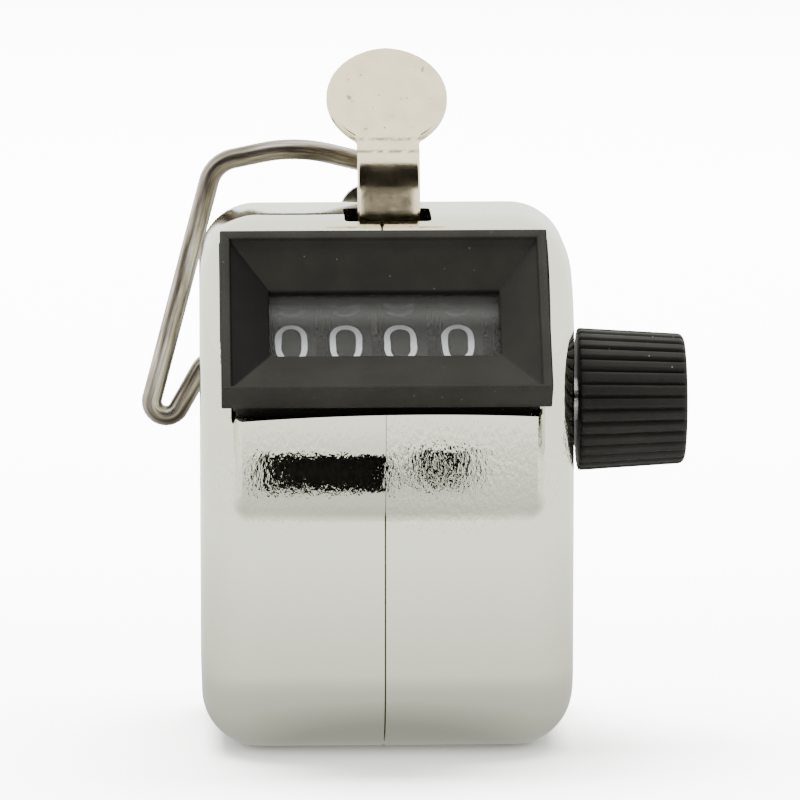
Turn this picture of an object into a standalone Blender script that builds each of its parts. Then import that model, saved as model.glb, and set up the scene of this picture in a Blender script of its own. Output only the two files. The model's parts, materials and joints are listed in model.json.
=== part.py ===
"""Hand tally counter with four number wheels, a thumb lever, a reset knob and a finger ring.

World frame, in metres: +X towards the reset knob, -Y towards the user, +Z up, and the origin on
the flat base, under the middle of the casing. The mechanism is drawn in its own side view, with
f forward and z up from the axis of the number wheels, both in millimetres.
"""

import bpy
import bmesh
from math import atan2, cos, degrees, pi, radians, sin, sqrt, tan
from mathutils import Matrix, Vector

MM = 0.001
GAP = 0.3  # clearance between two pieces that fit or touch

# Wheel axis, in the world frame
AXIS_Y = -2.0
AXIS_Z = 29.45

# Casing
CASE_W = 32.0
CASE_H = 45.6
CASE_FRONT = 11.0
CASE_BACK = -15.0
WALL = 1.0
ROLL_FRONT_TOP = 12.0
ROLL_BACK_TOP = 7.0
ROLL_FRONT_BOTTOM = 7.0
ROLL_BACK_BOTTOM = 6.0
SIDE_ROUND = 5.0
SIDE_STEPS = 5
CORNER_STEPS = 7
SEAM_X = -0.35
NOSE_W = 26.6
NOSE_TOP = 0.9
NOSE_FOOT = -8.4
SLOT_X = 0.2
SLOT_HALF_W = 3.75
SLOT_FRONT = 1.7
SLOT_BACK = -4.3

# Bezel: u runs up its slope and n out of it, from the wheel axis
BEZEL_X = -0.3
BEZEL_W = 28.0
BEZEL_L = 16.6
BEZEL_FACE = 13.5
BEZEL_DEPTH = 3.05
BEZEL_RIM = 1.0
LOW_RIM = 0.3  # the rim is narrower along its bottom
FUNNEL_DEPTH = 2.2
WINDOW_W = 19.7
WINDOW_L = 6.8
NECK_W = 26.0
NECK_L = 15.0
NECK_BACK = 8.9
STRAIGHT_DEPTH = 1.0  # how far the window cut reaches up into the funnel
LENS_RECESS = 0.1
LENS_W = 20.8
LENS_L = 8.0
LENS_T = 1.0

# Number wheels
WHEEL_COUNT = 4
WHEEL_PITCH = 4.75
WHEELS_MIDDLE = -0.75
WHEEL_R = 8.5
WHEEL_W = 3.6
RIM_T = 1.2
WEB_T = 1.0
HUB_R = 3.2
RATCHET_R = 5.8
RATCHET_ROOT = 4.8
RATCHET_W = 0.8
TEETH = 10
FINGER_W = 0.55

# Reset shaft and knob
SHAFT_R = 1.85
JOURNAL_R = 1.2
SHAFT_LEFT = -14.6
SHAFT_END = 22.0
KNOB_IN = 16.6
KNOB_OUT = 25.85
KNOB_R = 6.2
KNOB_TIP_R = 5.35
KNOB_RIBS = 32
RIB_DEPTH = 0.35
KNOB_SEAT = 24.2
KNOB_SCREW_R = 0.8
KNOB_SCREW_HOLE_R = 1.1
KNOB_SCREW_HEAD_R = 2.1
CLIP_X = (-13.95, -13.45)
CLIP_GROOVE = (-14.1, -13.3)
CLIP_GROOVE_R = 0.8
CLIP_R = 2.4

# Inner frame
PLATE_T = 0.8
PLATE_LEFT = -13.0
PLATE_RIGHT = 11.4
TIE_R = 1.2
TIE_REAR = (-9.0, -12.0)
BAR = (5.0, -12.0)
BOLT = (-2.0, -21.0)
BOLT_R = 1.0
BOSS_R = 2.3
HEAD_T = 0.7
HEAD_EDGE = 0.2
TIE_HEAD_R = 2.0
TIE_HEAD_TOP_R = 1.5
COMB_SCREWS = (-8.5, 6.1)
COMB_SCREW_R = 0.6
COMB_SCREW_HEAD_R = 1.2
COMB_BASE = BAR[1] + 1 + GAP
COMB_T = 0.5
COMB_HALF_L = 10.5
COMB_HALF_W = 1.7
SCREW_SLOT = 0.25  # half the width of a screwdriver slot

# Thumb lever and pawl, in the side view
PIVOT = (-2.0, 11.3)
PIVOT_R = 0.8
LEVER_X = 0.35
LEVER_T = 1.0
STEM_W = 5.4
STEM_F = -1.3
BEND = (STEM_F, 19.9)  # where the stem's line and the pad's plane meet
BEND_R = 4.7
PAD_R = 5.25
PAD_REACH = 7.76
PAD_TILT = radians(45)
HUB_R_OUT = 1.8
ARM_W = 1.6
EYE_R = 1.35
PROUD = 0.12  # how far the arms stand proud of the eyes
ELBOW = (-9.5, 11.0)
PAWL_PIVOT = (-12.3, 7.5)
ARM_LEFT = -7.3
ARM_RIGHT = 9.6
PAWL_PIN_R = 0.6
PAWL_SLEEVE = 1.25
PAWL_LENGTH = 7.7
PAWL_ANGLE = radians(-37.7)

# Finger ring
WIRE_R = 0.85
RING_F = -18.0
KNUCKLE_R = 2.0
KNUCKLES = {"upper": (12.0, 15.6), "lower": (3.0, 6.2)}
BRACKET_T = 0.9
BRACKET_HALF_W = 3.6
BRACKET_Z = (-2.0, 16.8)
BRACKET_ROUND = 2.6
RIVET_X = {"left": -2.4, "right": 2.4}
RIVET_Z = 1.0
RIVET_R = 0.7
RIVET_HEAD_R = 1.2
RIVET_HEAD_T = 0.5

STEEL = (0.62, 0.61, 0.59)


def world(x, f, z):
    """A point of the side view at x, in world metres."""
    return Vector((x, AXIS_Y - f, AXIS_Z + z)) * MM


def slope(x, u, n):
    """A point of the bezel's slope, as (x, f, z)."""
    return x, (n - u) * sqrt(0.5), (n + u) * sqrt(0.5)


def collection(name, parent):
    made = bpy.data.collections.new(name)
    parent.children.link(made)
    return made


def clear_scene():
    for obj in list(bpy.data.objects):
        bpy.data.objects.remove(obj, do_unlink=True)


def material(name, colour, metallic, roughness):
    made = bpy.data.materials.new(name)
    made.use_nodes = True
    shader = made.node_tree.nodes["Principled BSDF"]
    shader.inputs["Base Color"].default_value = (*colour, 1.0)
    shader.inputs["Metallic"].default_value = metallic
    shader.inputs["Roughness"].default_value = roughness
    return made


def new_object(name, data, group):
    obj = bpy.data.objects.new(name, data)
    group.objects.link(obj)
    return obj


def finish_part(obj, look, angle=radians(35)):
    """Gives a mesh part its own material and its shading."""
    obj.data.materials.clear()
    obj.data.materials.append(material(obj.name, *look))
    obj.data.shade_smooth()
    obj.data.set_sharp_from_angle(angle=angle)
    return obj


def as_tool(obj):
    """Turns an object into a cutter or a piece to join, which isn't a part itself."""
    for group in list(obj.users_collection):
        group.objects.unlink(obj)
    TOOLS.objects.link(obj)
    obj.hide_render = True
    obj.display_type = "WIRE"
    return obj


def combine(obj, tool, operation):
    modifier = obj.modifiers.new(f"{operation} {tool.name}", "BOOLEAN")
    modifier.operation = operation
    modifier.object = as_tool(tool)
    modifier.solver = "EXACT"
    return obj


def mesh_copy(obj):
    """The evaluated shape of obj as a mesh object of the same name and place, in place of obj."""
    bpy.context.view_layer.update()
    graph = bpy.context.evaluated_depsgraph_get()
    data = bpy.data.meshes.new_from_object(obj.evaluated_get(graph))
    shape = bmesh.new()
    shape.from_mesh(data)
    bmesh.ops.remove_doubles(shape, verts=shape.verts, dist=1e-7)
    bmesh.ops.recalc_face_normals(shape, faces=shape.faces)
    shape.to_mesh(data)
    shape.free()
    name = obj.name
    place = obj.matrix_world.copy()
    group = obj.users_collection[0]
    bpy.data.objects.remove(obj)
    made = new_object(name, data, group)
    made.matrix_world = place
    return made


def box(name, low, high, group):
    """A box between two corners given as (x, f, z)."""
    shape = bmesh.new()
    bmesh.ops.create_cube(shape, size=1.0)
    size = [abs(b - a) * MM for a, b in zip(low, high)]
    bmesh.ops.scale(shape, vec=size, verts=shape.verts)
    data = bpy.data.meshes.new(name)
    shape.to_mesh(data)
    shape.free()
    obj = new_object(name, data, group)
    obj.location = (world(*low) + world(*high)) / 2
    return obj


def slope_box(name, size_x, u_range, n_range, group):
    """A box on the bezel's slope, centred on the bezel's own x."""
    shape = bmesh.new()
    bmesh.ops.create_cube(shape, size=1.0)
    size = (size_x * MM, (u_range[1] - u_range[0]) * MM, (n_range[1] - n_range[0]) * MM)
    bmesh.ops.scale(shape, vec=size, verts=shape.verts)
    data = bpy.data.meshes.new(name)
    shape.to_mesh(data)
    shape.free()
    obj = new_object(name, data, group)
    obj.location = world(*slope(BEZEL_X, sum(u_range) / 2, sum(n_range) / 2))
    obj.rotation_euler = (radians(45), 0, 0)
    return obj


def prism(name, outline, x0, x1, group, holes=()):
    """A flat outline of the side view, drawn at any x and as thick as x0 to x1."""
    curve = bpy.data.curves.new(name, "CURVE")
    curve.dimensions = "2D"
    curve.fill_mode = "BOTH"
    curve.extrude = abs(x1 - x0) / 2 * MM
    for points in (outline, *holes):
        spline = curve.splines.new("POLY")
        spline.points.add(len(points) - 1)
        for point, (f, z) in zip(spline.points, points):
            point.co = (-f * MM, z * MM, 0, 1)
        spline.use_cyclic_u = True
    obj = new_object(name, curve, group)
    obj.location = world((x0 + x1) / 2, 0, 0)
    obj.rotation_euler = (pi / 2, 0, pi / 2)
    return mesh_copy(obj)


def turned(name, profile, place, group, steps=32, axis="X"):
    """A turned shape: profile is a list of (distance along the axis, radius), up its outer side."""
    data = bpy.data.meshes.new(name)
    points = [(radius * MM, 0, along * MM) for along, radius in reversed(profile)]
    edges = [(i, i + 1) for i in range(len(points) - 1)]
    if profile[0][1] > 0:
        edges.append((len(points) - 1, 0))
    data.from_pydata(points, edges, [])
    obj = new_object(name, data, group)
    obj.location = world(*place)
    if axis == "X":
        obj.rotation_euler = (0, pi / 2, 0)
    if axis == "Y":
        obj.rotation_euler = (-pi / 2, 0, 0)
    screw = obj.modifiers.new("Turn", "SCREW")
    screw.steps = steps
    screw.render_steps = steps
    screw.use_merge_vertices = True
    screw.merge_threshold = 1e-6
    return mesh_copy(obj)


def rod(name, radius, x0, x1, f, z, group, steps=24):
    return turned(name, [(x0, 0), (x0, radius), (x1, radius), (x1, 0)], (0, f, z), group, steps)


def tube(name, inner, outer, x0, x1, f, z, group, steps=32):
    profile = [(x0, inner), (x0, outer), (x1, outer), (x1, inner)]
    return turned(name, profile, (0, f, z), group, steps)


def wire(name, points, radius, group, sides=2):
    """A round wire through world points in metres."""
    curve = bpy.data.curves.new(name, "CURVE")
    curve.dimensions = "3D"
    curve.bevel_depth = radius * MM
    curve.bevel_resolution = sides
    curve.use_fill_caps = True
    spline = curve.splines.new("POLY")
    spline.points.add(len(points) - 1)
    for point, place in zip(spline.points, points):
        point.co = (*place, 1)
    return mesh_copy(new_object(name, curve, group))


def arc(centre, radius, start, end, steps):
    """Points of an arc in the side view, angles in degrees from forward towards up."""
    angles = [radians(start + (end - start) * i / steps) for i in range(steps + 1)]
    return [(centre[0] + radius * cos(a), centre[1] + radius * sin(a)) for a in angles]


def circle(centre, radius, steps=24):
    return arc(centre, radius, 0, 360, steps)[:-1]


def strip(points, width):
    """The outline of a strip of even width along an open path."""
    sides = ([], [])
    for i, (f, z) in enumerate(points):
        before = points[max(i - 1, 0)]
        after = points[min(i + 1, len(points) - 1)]
        before_dir = Vector((f - before[0], z - before[1]))
        after_dir = Vector((after[0] - f, after[1] - z))
        ends = [d.normalized() for d in (before_dir, after_dir) if d.length > 0]
        along = sum(ends, Vector((0, 0))).normalized()
        normal = Vector((-along.y, along.x)) * (width / 2) / max(along.dot(ends[0]), 0.3)
        sides[0].append((f + normal.x, z + normal.y))
        sides[1].append((f - normal.x, z - normal.y))
    return sides[0] + sides[1][::-1]


def casing_outline(inset, steps):
    """The casing's side view, inset by a wall."""
    front = CASE_FRONT - inset
    back = CASE_BACK + inset
    top = CASE_H - AXIS_Z - inset
    bottom = -AXIS_Z + inset
    corners = (
        (front, bottom, ROLL_FRONT_BOTTOM, -1, 1, 270),
        (front, top, ROLL_FRONT_TOP, -1, -1, 0),
        (back, top, ROLL_BACK_TOP, 1, -1, 90),
        (back, bottom, ROLL_BACK_BOTTOM, 1, 1, 180),
    )
    points = []
    for f, z, radius, to_f, to_z, start in corners:
        radius -= inset
        centre = (f + to_f * radius, z + to_z * radius)
        points += arc(centre, radius, start, start + 90, steps)
    return points


def casing_solid(name, inset):
    """The casing's rounded block, lofted across x: its outline shrinks round each side's edge."""
    half = CASE_W / 2 - inset
    radius = SIDE_ROUND - inset
    angles = [pi / 2 * i / SIDE_STEPS for i in range(SIDE_STEPS + 1)]
    left = [(-half + radius * (1 - cos(a)), radius * (1 - sin(a))) for a in angles]
    stations = left + [(-x, shrink) for x, shrink in reversed(left)]
    shape = bmesh.new()
    rings = []
    for x, shrink in stations:
        outline = casing_outline(inset + shrink, CORNER_STEPS)
        rings.append([shape.verts.new(world(x, f, z)) for f, z in outline])
    for one, other in zip(rings, rings[1:]):
        for i in range(len(one)):
            shape.faces.new((one[i - 1], one[i], other[i], other[i - 1]))
    shape.faces.new(rings[0])
    shape.faces.new(rings[-1])
    bmesh.ops.recalc_face_normals(shape, faces=shape.faces)
    data = bpy.data.meshes.new(name)
    shape.to_mesh(data)
    shape.free()
    return new_object(name, data, TOOLS)


def nose_outline(inset):
    """The raised panel under the window, in the side view."""
    root = 2.0
    foot = NOSE_FOOT + inset
    front = [(CASE_FRONT, foot), (11.7, NOSE_FOOT + 1.4), (12.6, NOSE_FOOT / 2), (13.1, NOSE_TOP)]
    return [(root, NOSE_TOP), (root, foot)] + [(f - inset, z) for f, z in front]


def nose_solid(name, inset):
    half = NOSE_W / 2 - inset
    return prism(name, nose_outline(inset), -half, half, TOOLS)


def rivet_hole(name, x):
    """A cutter through the back wall and the bracket."""
    profile = [(-4, 0), (-4, RIVET_R + GAP), (4, RIVET_R + GAP), (4, 0)]
    return turned(name, profile, (x, CASE_BACK, RIVET_Z), TOOLS, 16, "Y")


def casing_cutters():
    """Everything cut out of the casing, as solids."""
    deep = 20.0
    neck_l = NECK_L / 2 + GAP
    yield slope_box("neck_opening", NECK_W + 2 * GAP, (-neck_l, neck_l), (6, deep), TOOLS)
    bezel_back = BEZEL_FACE - BEZEL_DEPTH - GAP
    bezel_l = BEZEL_L / 2 + GAP
    bezel_w = BEZEL_W + 2 * GAP
    yield slope_box("bezel_recess", bezel_w, (-bezel_l, bezel_l), (bezel_back, deep), TOOLS)
    slot = (SLOT_X - SLOT_HALF_W, SLOT_BACK, 10), (SLOT_X + SLOT_HALF_W, SLOT_FRONT, deep)
    yield box("lever_slot", *slot, TOOLS)
    yield rod("shaft_hole", SHAFT_R + GAP, 10, deep, 0, 0, TOOLS)
    yield rod("bolt_hole", BOLT_R + GAP, -deep, 14, *BOLT, TOOLS)
    sink = [(-16.2, 0), (-16.2, 2.4), (-15.1, 1.5), (-15.1, 0)]
    yield turned("bolt_sink", sink, (0, *BOLT), TOOLS)
    for side, x in RIVET_X.items():
        yield rivet_hole(f"rivet_hole_{side}", x)


def casing():
    """The two halves of the casing, split at the seam."""
    whole = casing_solid("casing_outer", 0)
    combine(whole, nose_solid("nose_outer", 0), "UNION")
    inside = casing_solid("casing_inner", WALL)
    combine(inside, nose_solid("nose_inner", WALL), "UNION")
    combine(whole, mesh_copy(inside), "DIFFERENCE")
    whole = mesh_copy(whole)
    boss_x = (PLATE_RIGHT + PLATE_T + GAP, CASE_W / 2 - WALL / 2)
    boss = tube("bolt_boss", BOLT_R + GAP, BOSS_R, *boss_x, *BOLT, TOOLS)
    combine(whole, boss, "UNION")
    for cutter in casing_cutters():
        combine(whole, cutter, "DIFFERENCE")
    whole = mesh_copy(whole)
    reach = CASE_W
    sides = {
        "left_shell": (-reach, SEAM_X - GAP / 2),
        "right_shell": (SEAM_X + GAP / 2, reach),
    }
    for name, (x0, x1) in sides.items():
        half = new_object(name, whole.data.copy(), PARTS)
        half.matrix_world = whole.matrix_world
        keep = box(f"{name}_side", (x0, -reach, -2 * reach), (x1, reach, 2 * reach), TOOLS)
        combine(half, keep, "INTERSECT")
        finish_part(half, ((0.86, 0.87, 0.85), 1.0, 0.08))
    bpy.data.objects.remove(whole)


def funnel(name):
    """The sloping inner sides of the bezel, as a cutter that narrows towards the window."""
    above = 0.4  # the cutter ends this far above the face, its sides in line
    n_range = (BEZEL_FACE - FUNNEL_DEPTH, BEZEL_FACE + above)
    obj = slope_box(name, 1, (-0.5, 0.5), n_range, TOOLS)
    flare = (FUNNEL_DEPTH + above) / FUNNEL_DEPTH
    grow_x = (BEZEL_W - 2 * BEZEL_RIM - WINDOW_W) * flare
    grow_u = (BEZEL_L - 2 * BEZEL_RIM - WINDOW_L) * flare
    for corner in obj.data.vertices:
        outer = corner.co.z > 0
        corner.co.x *= WINDOW_W + outer * grow_x
        corner.co.y *= WINDOW_L + outer * grow_u
        if outer and corner.co.y < 0:
            corner.co.y -= (BEZEL_RIM - LOW_RIM) * flare
    return obj


def bezel():
    back = BEZEL_FACE - BEZEL_DEPTH
    body = slope_box("bezel", BEZEL_W, (-BEZEL_L / 2, BEZEL_L / 2), (back, BEZEL_FACE), PARTS)
    inside = NECK_BACK - 1  # cutters start behind the neck
    cutters = {
        "window_cut": (WINDOW_W, WINDOW_L / 2, (inside, BEZEL_FACE - STRAIGHT_DEPTH)),
        "lens_pocket": (LENS_W + 2 * GAP, LENS_L / 2 + GAP, (inside, back + LENS_RECESS)),
    }
    neck = slope_box("bezel_neck", NECK_W, (-NECK_L / 2, NECK_L / 2), (NECK_BACK, back + 0.5), TOOLS)
    combine(body, neck, "UNION")
    combine(body, funnel("bezel_funnel"), "DIFFERENCE")
    for name, (width, half_l, n_range) in cutters.items():
        combine(body, slope_box(name, width, (-half_l, half_l), n_range, TOOLS), "DIFFERENCE")
    finish_part(body, ((0.035, 0.035, 0.032), 0.0, 0.4))
    lens_front = back + LENS_RECESS - GAP
    lens_range = (lens_front - LENS_T, lens_front)
    lens = slope_box("window_lens", LENS_W, (-LENS_L / 2, LENS_L / 2), lens_range, PARTS)
    finish_part(lens, ((0.8, 0.8, 0.8), 0.0, 0.05))


def wheel_x(index):
    return WHEELS_MIDDLE + (index - (WHEEL_COUNT - 1) / 2) * WHEEL_PITCH


def ratchet_outline():
    """Ten saw teeth: each has a flank on a radius and a sloping back."""
    points = []
    for i in range(TEETH):
        start = 2 * pi * i / TEETH
        for share, radius in ((0.0, RATCHET_ROOT), (0.02, RATCHET_R), (0.2, RATCHET_R)):
            angle = start + share * 2 * pi / TEETH
            points.append((radius * cos(angle), radius * sin(angle)))
    return points


def number_wheel(name, index, parent):
    """A drum with a thin web and a hub on the reset shaft, and a ratchet on its right face."""
    x = wheel_x(index)
    half = WHEEL_W / 2
    inner = WHEEL_R - RIM_T
    bore = SHAFT_R + GAP
    web = half - WEB_T
    profile = [(-half, bore), (-half, HUB_R), (web, HUB_R), (web, inner), (-half, inner)]
    profile += [(-half, WHEEL_R), (half, WHEEL_R), (half, bore)]
    wheel = turned(name, profile, (x, 0, 0), PARTS, 40)
    teeth_x = (x + half - 0.2, x + half + RATCHET_W)
    teeth = prism(f"{name}_teeth", ratchet_outline(), *teeth_x, TOOLS, [circle((0, 0), bore, 40)])
    combine(wheel, teeth, "UNION")
    finish_part(wheel, ((0.1, 0.1, 0.095), 0.0, 0.45))
    hold(wheel, parent)


def knob_outline():
    """One ring of ribs: a V groove between each two ribs."""
    points = []
    for i in range(KNOB_RIBS):
        for share, depth in ((0.0, RIB_DEPTH), (0.3, 0.0), (0.7, 0.0)):
            angle = 2 * pi * (i + share) / KNOB_RIBS
            points.append(((KNOB_R - depth) * cos(angle), (KNOB_R - depth) * sin(angle)))
    return points


def reset_knob(parent):
    knob = prism("reset_knob", knob_outline(), KNOB_IN, KNOB_OUT, PARTS)
    middle = (KNOB_IN + KNOB_OUT) / 2 * MM
    for corner in knob.data.vertices:
        share = (corner.co.z + middle - KNOB_IN * MM) / ((KNOB_OUT - KNOB_IN) * MM)
        narrow = 1 + (KNOB_TIP_R / KNOB_R - 1) * share
        corner.co.x *= narrow
        corner.co.y *= narrow
    bore = rod("knob_bore", SHAFT_R + GAP, 10, SHAFT_END + GAP, 0, 0, TOOLS)
    combine(knob, bore, "DIFFERENCE")
    hole = KNOB_SCREW_HOLE_R
    wide = KNOB_SCREW_HEAD_R + GAP
    seat = [(21, 0), (21, hole), (KNOB_SEAT, hole), (KNOB_SEAT, wide), (30, wide), (30, 0)]
    combine(knob, turned("knob_screw_seat", seat, (0, 0, 0), TOOLS, 24), "DIFFERENCE")
    finish_part(knob, ((0.03, 0.03, 0.027), 0.0, 0.5))
    hold(knob, parent)


def reset_shaft(parent):
    """The wheel shaft: turned, with a clip groove, a reset groove and a tapped end."""
    step = PLATE_LEFT + PLATE_T + GAP
    tapped = KNOB_SCREW_R + GAP
    profile = [(SHAFT_LEFT, 0), (SHAFT_LEFT, JOURNAL_R), (CLIP_GROOVE[0], JOURNAL_R)]
    profile += [(x, CLIP_GROOVE_R) for x in CLIP_GROOVE]
    profile += [(CLIP_GROOVE[1], JOURNAL_R), (step, JOURNAL_R), (step, SHAFT_R)]
    profile += [(SHAFT_END, SHAFT_R), (SHAFT_END, tapped), (19, tapped), (19, 0)]
    shaft = turned("reset_shaft", profile, (0, 0, 0), PARTS, 32)
    groove = box("reset_groove", (-10, SHAFT_R - 0.4, -0.35), (9, 3, 0.35), TOOLS)
    combine(shaft, groove, "DIFFERENCE")
    finish_part(shaft, (STEEL, 1.0, 0.3))
    hold(shaft, parent)
    clip = tube("shaft_clip", CLIP_GROOVE_R + GAP, CLIP_R, *CLIP_X, 0, 0, PARTS, 24)
    combine(clip, box("clip_mouth", (-15, -0.6, -4), (-12, 0.6, -0.5), TOOLS), "DIFFERENCE")
    finish_part(clip, (STEEL, 1.0, 0.35))
    hold(clip, parent)


def knob_screw(parent):
    head = KNOB_SEAT + GAP
    top = head + 0.8
    rim = KNOB_SCREW_HEAD_R
    profile = [(19.4, 0), (19.4, KNOB_SCREW_R), (head, KNOB_SCREW_R), (head, rim)]
    profile += [(top, rim - 0.4), (top, 0)]
    screw = turned("knob_screw", profile, (0, 0, 0), PARTS, 24)
    slot = (top - 0.3, -3, -SCREW_SLOT), (top + 1, 3, SCREW_SLOT)
    combine(screw, box("knob_screw_slot", *slot, TOOLS), "DIFFERENCE")
    finish_part(screw, (STEEL, 1.0, 0.3))
    hold(screw, parent)


def spacers():
    """The plain bushes that keep the row of wheels in its place, on the shaft's full radius."""
    left = (PLATE_LEFT + PLATE_T + GAP, wheel_x(0) - WHEEL_W / 2 - GAP)
    right = (wheel_x(WHEEL_COUNT - 1) + WHEEL_W / 2 + RATCHET_W + GAP, PLATE_RIGHT - GAP)
    for name, (x0, x1) in {"wheel_spacer_left": left, "wheel_spacer_right": right}.items():
        bush = tube(name, SHAFT_R + GAP, HUB_R, x0, x1, 0, 0, PARTS, 32)
        finish_part(bush, ((0.75, 0.55, 0.25), 1.0, 0.35))


def plate_outline():
    """A side plate: it follows the slope of the bezel, and its foot takes the bolt."""
    chamfer = 8.4 * sqrt(2)
    front, rear, low = 9.2, -11.5, -15.0
    foot = arc(BOLT, 2.6, 200, 340, 6)
    points = [(6.5, low), (front, -10.0), (front, chamfer - front), (-1.6, chamfer + 1.6)]
    return foot + points + [(-6.0, chamfer + 1.6), (rear, 8.0), (rear, -13.0), (-9.5, low)]


def plate(name, x0, shaft_bore):
    holes = [
        circle((0, 0), shaft_bore + GAP, 32),
        circle(PIVOT, PIVOT_R + GAP, 16),
        circle(TIE_REAR, TIE_R + GAP, 16),
        circle(BAR, TIE_R + GAP, 16),
        circle(BOLT, BOLT_R + GAP, 16),
    ]
    made = prism(name, plate_outline(), x0, x0 + PLATE_T, PARTS, holes)
    finish_part(made, (STEEL, 1.0, 0.4))


def tie(name, f, z, shoulder):
    """A cross tie: shoulders between the plates, and a riveted head outside each."""
    heads = (PLATE_LEFT - GAP, -1), (PLATE_RIGHT + PLATE_T + GAP, 1)
    shoulders = (PLATE_LEFT + PLATE_T + GAP, PLATE_RIGHT - GAP)
    ends = []
    for (x, out), inner in zip(heads, shoulders):
        end = [(x + out * HEAD_T, 0), (x + out * HEAD_T, TIE_HEAD_TOP_R)]
        end += [(x + out * HEAD_EDGE, TIE_HEAD_R), (x, TIE_HEAD_R), (x, TIE_R)]
        ends.append(end + [(inner, TIE_R), (inner, shoulder)])
    return turned(name, ends[0] + ends[1][::-1], (0, f, z), PARTS, 20)


def comb_screw_hole(name, x):
    radius = COMB_SCREW_R + GAP
    profile = [(-3, 0), (-3, radius), (3, radius), (3, 0)]
    return turned(name, profile, (x, *BAR), TOOLS, 16, "Z")


def frame():
    """Two side plates with two ties, and the bolt through them and the casing."""
    plate("frame_plate_left", PLATE_LEFT, JOURNAL_R)
    plate("frame_plate_right", PLATE_RIGHT, SHAFT_R)
    finish_part(tie("frame_tie_rear", *TIE_REAR, 2.0), (STEEL, 1.0, 0.35))
    bar = tie("frame_tie_front", *BAR, 1.3)
    low = (PLATE_LEFT + PLATE_T + GAP, BAR[0] - 2, BAR[1] - 1)
    high = (PLATE_RIGHT - GAP, BAR[0] + 2, BAR[1] + 1)
    combine(bar, box("tie_flat", low, high, TOOLS), "UNION")
    for x in COMB_SCREWS:
        combine(bar, comb_screw_hole(f"tie_hole_{x}", x), "DIFFERENCE")
    finish_part(bar, (STEEL, 1.0, 0.35))


def case_bolt():
    head, neck, end = -15.9, -15.0, 13.6
    profile = [(head, 0), (head, 1.9), (neck, BOLT_R), (end, BOLT_R), (end, 0)]
    bolt = turned("case_bolt", profile, (0, *BOLT), PARTS, 20)
    low = (head - 1, BOLT[0] - 4, BOLT[1] - SCREW_SLOT)
    high = (head + 0.3, BOLT[0] + 4, BOLT[1] + SCREW_SLOT)
    combine(bolt, box("bolt_slot", low, high, TOOLS), "DIFFERENCE")
    finish_part(bolt, (STEEL, 1.0, 0.3))


def finger_x(index):
    """Where the pawl's and the comb's finger reach a ratchet, between two drums."""
    start = wheel_x(index) + WHEEL_W / 2 + GAP
    return start, start + FINGER_W


def detent_comb():
    """A spring comb on the front tie: one finger rests just clear of each wheel's ratchet."""
    low = (-COMB_HALF_L, BAR[0] - COMB_HALF_W, COMB_BASE)
    high = (COMB_HALF_L, BAR[0] + COMB_HALF_W, COMB_BASE + COMB_T)
    comb = box("detent_comb", low, high, PARTS)
    path = [(BAR[0] - 1.2, COMB_BASE + COMB_T / 2), (1.6, -9.0), (0.6, -6.6)]
    for i in range(WHEEL_COUNT):
        finger = prism(f"comb_finger_{i}", strip(path, 0.45), *finger_x(i), TOOLS)
        combine(comb, finger, "UNION")
    for x in COMB_SCREWS:
        combine(comb, comb_screw_hole(f"comb_hole_{x}", x), "DIFFERENCE")
    finish_part(comb, (STEEL, 1.0, 0.3))


def comb_screws():
    start = BAR[1] - 0.9
    base = COMB_BASE + COMB_T + GAP
    top = base + HEAD_T
    profile = [(start, 0), (start, COMB_SCREW_R), (base, COMB_SCREW_R)]
    profile += [(base, COMB_SCREW_HEAD_R), (top, COMB_SCREW_HEAD_R - HEAD_EDGE), (top, 0)]
    for side, x in zip(("left", "right"), COMB_SCREWS):
        screw = turned(f"comb_screw_{side}", profile, (x, BAR[0], 0), PARTS, 16, "Z")
        finish_part(screw, (STEEL, 1.0, 0.3))


def pad_point(along, out=0.0):
    """A point of the pad's plane: along it from the bend, and out of it towards the user."""
    return (
        BEND[0] - along * sin(PAD_TILT) + out * cos(PAD_TILT),
        BEND[1] + along * cos(PAD_TILT) + out * sin(PAD_TILT),
    )


def lever_pad(name):
    """The round pad: a disc on the 45 degree end of the stem, a touch thinner than it."""
    half = LEVER_T / 2 - 0.05
    edge = 0.2
    profile = [(-half, 0), (-half, PAD_R - edge), (-half + edge, PAD_R), (half - edge, PAD_R)]
    profile += [(half, PAD_R - edge), (half, 0)]
    disc = turned(name, profile, (0, 0, 0), TOOLS, 48, "Z")
    disc.location = world(LEVER_X, *pad_point(PAD_REACH))
    disc.rotation_euler = (radians(90) - PAD_TILT, 0, 0)
    return disc


def lever_arm(side, x0):
    """One arm behind the wheels, with an eye for the pawl's pin, as solids to join."""
    yield prism(f"lever_arm_{side}", strip([PIVOT, ELBOW, PAWL_PIVOT], ARM_W), x0, x0 + LEVER_T, TOOLS)
    eye_x = (x0 + PROUD, x0 + LEVER_T - PROUD)
    yield rod(f"lever_eye_{side}", EYE_R, *eye_x, *PAWL_PIVOT, TOOLS)


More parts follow.
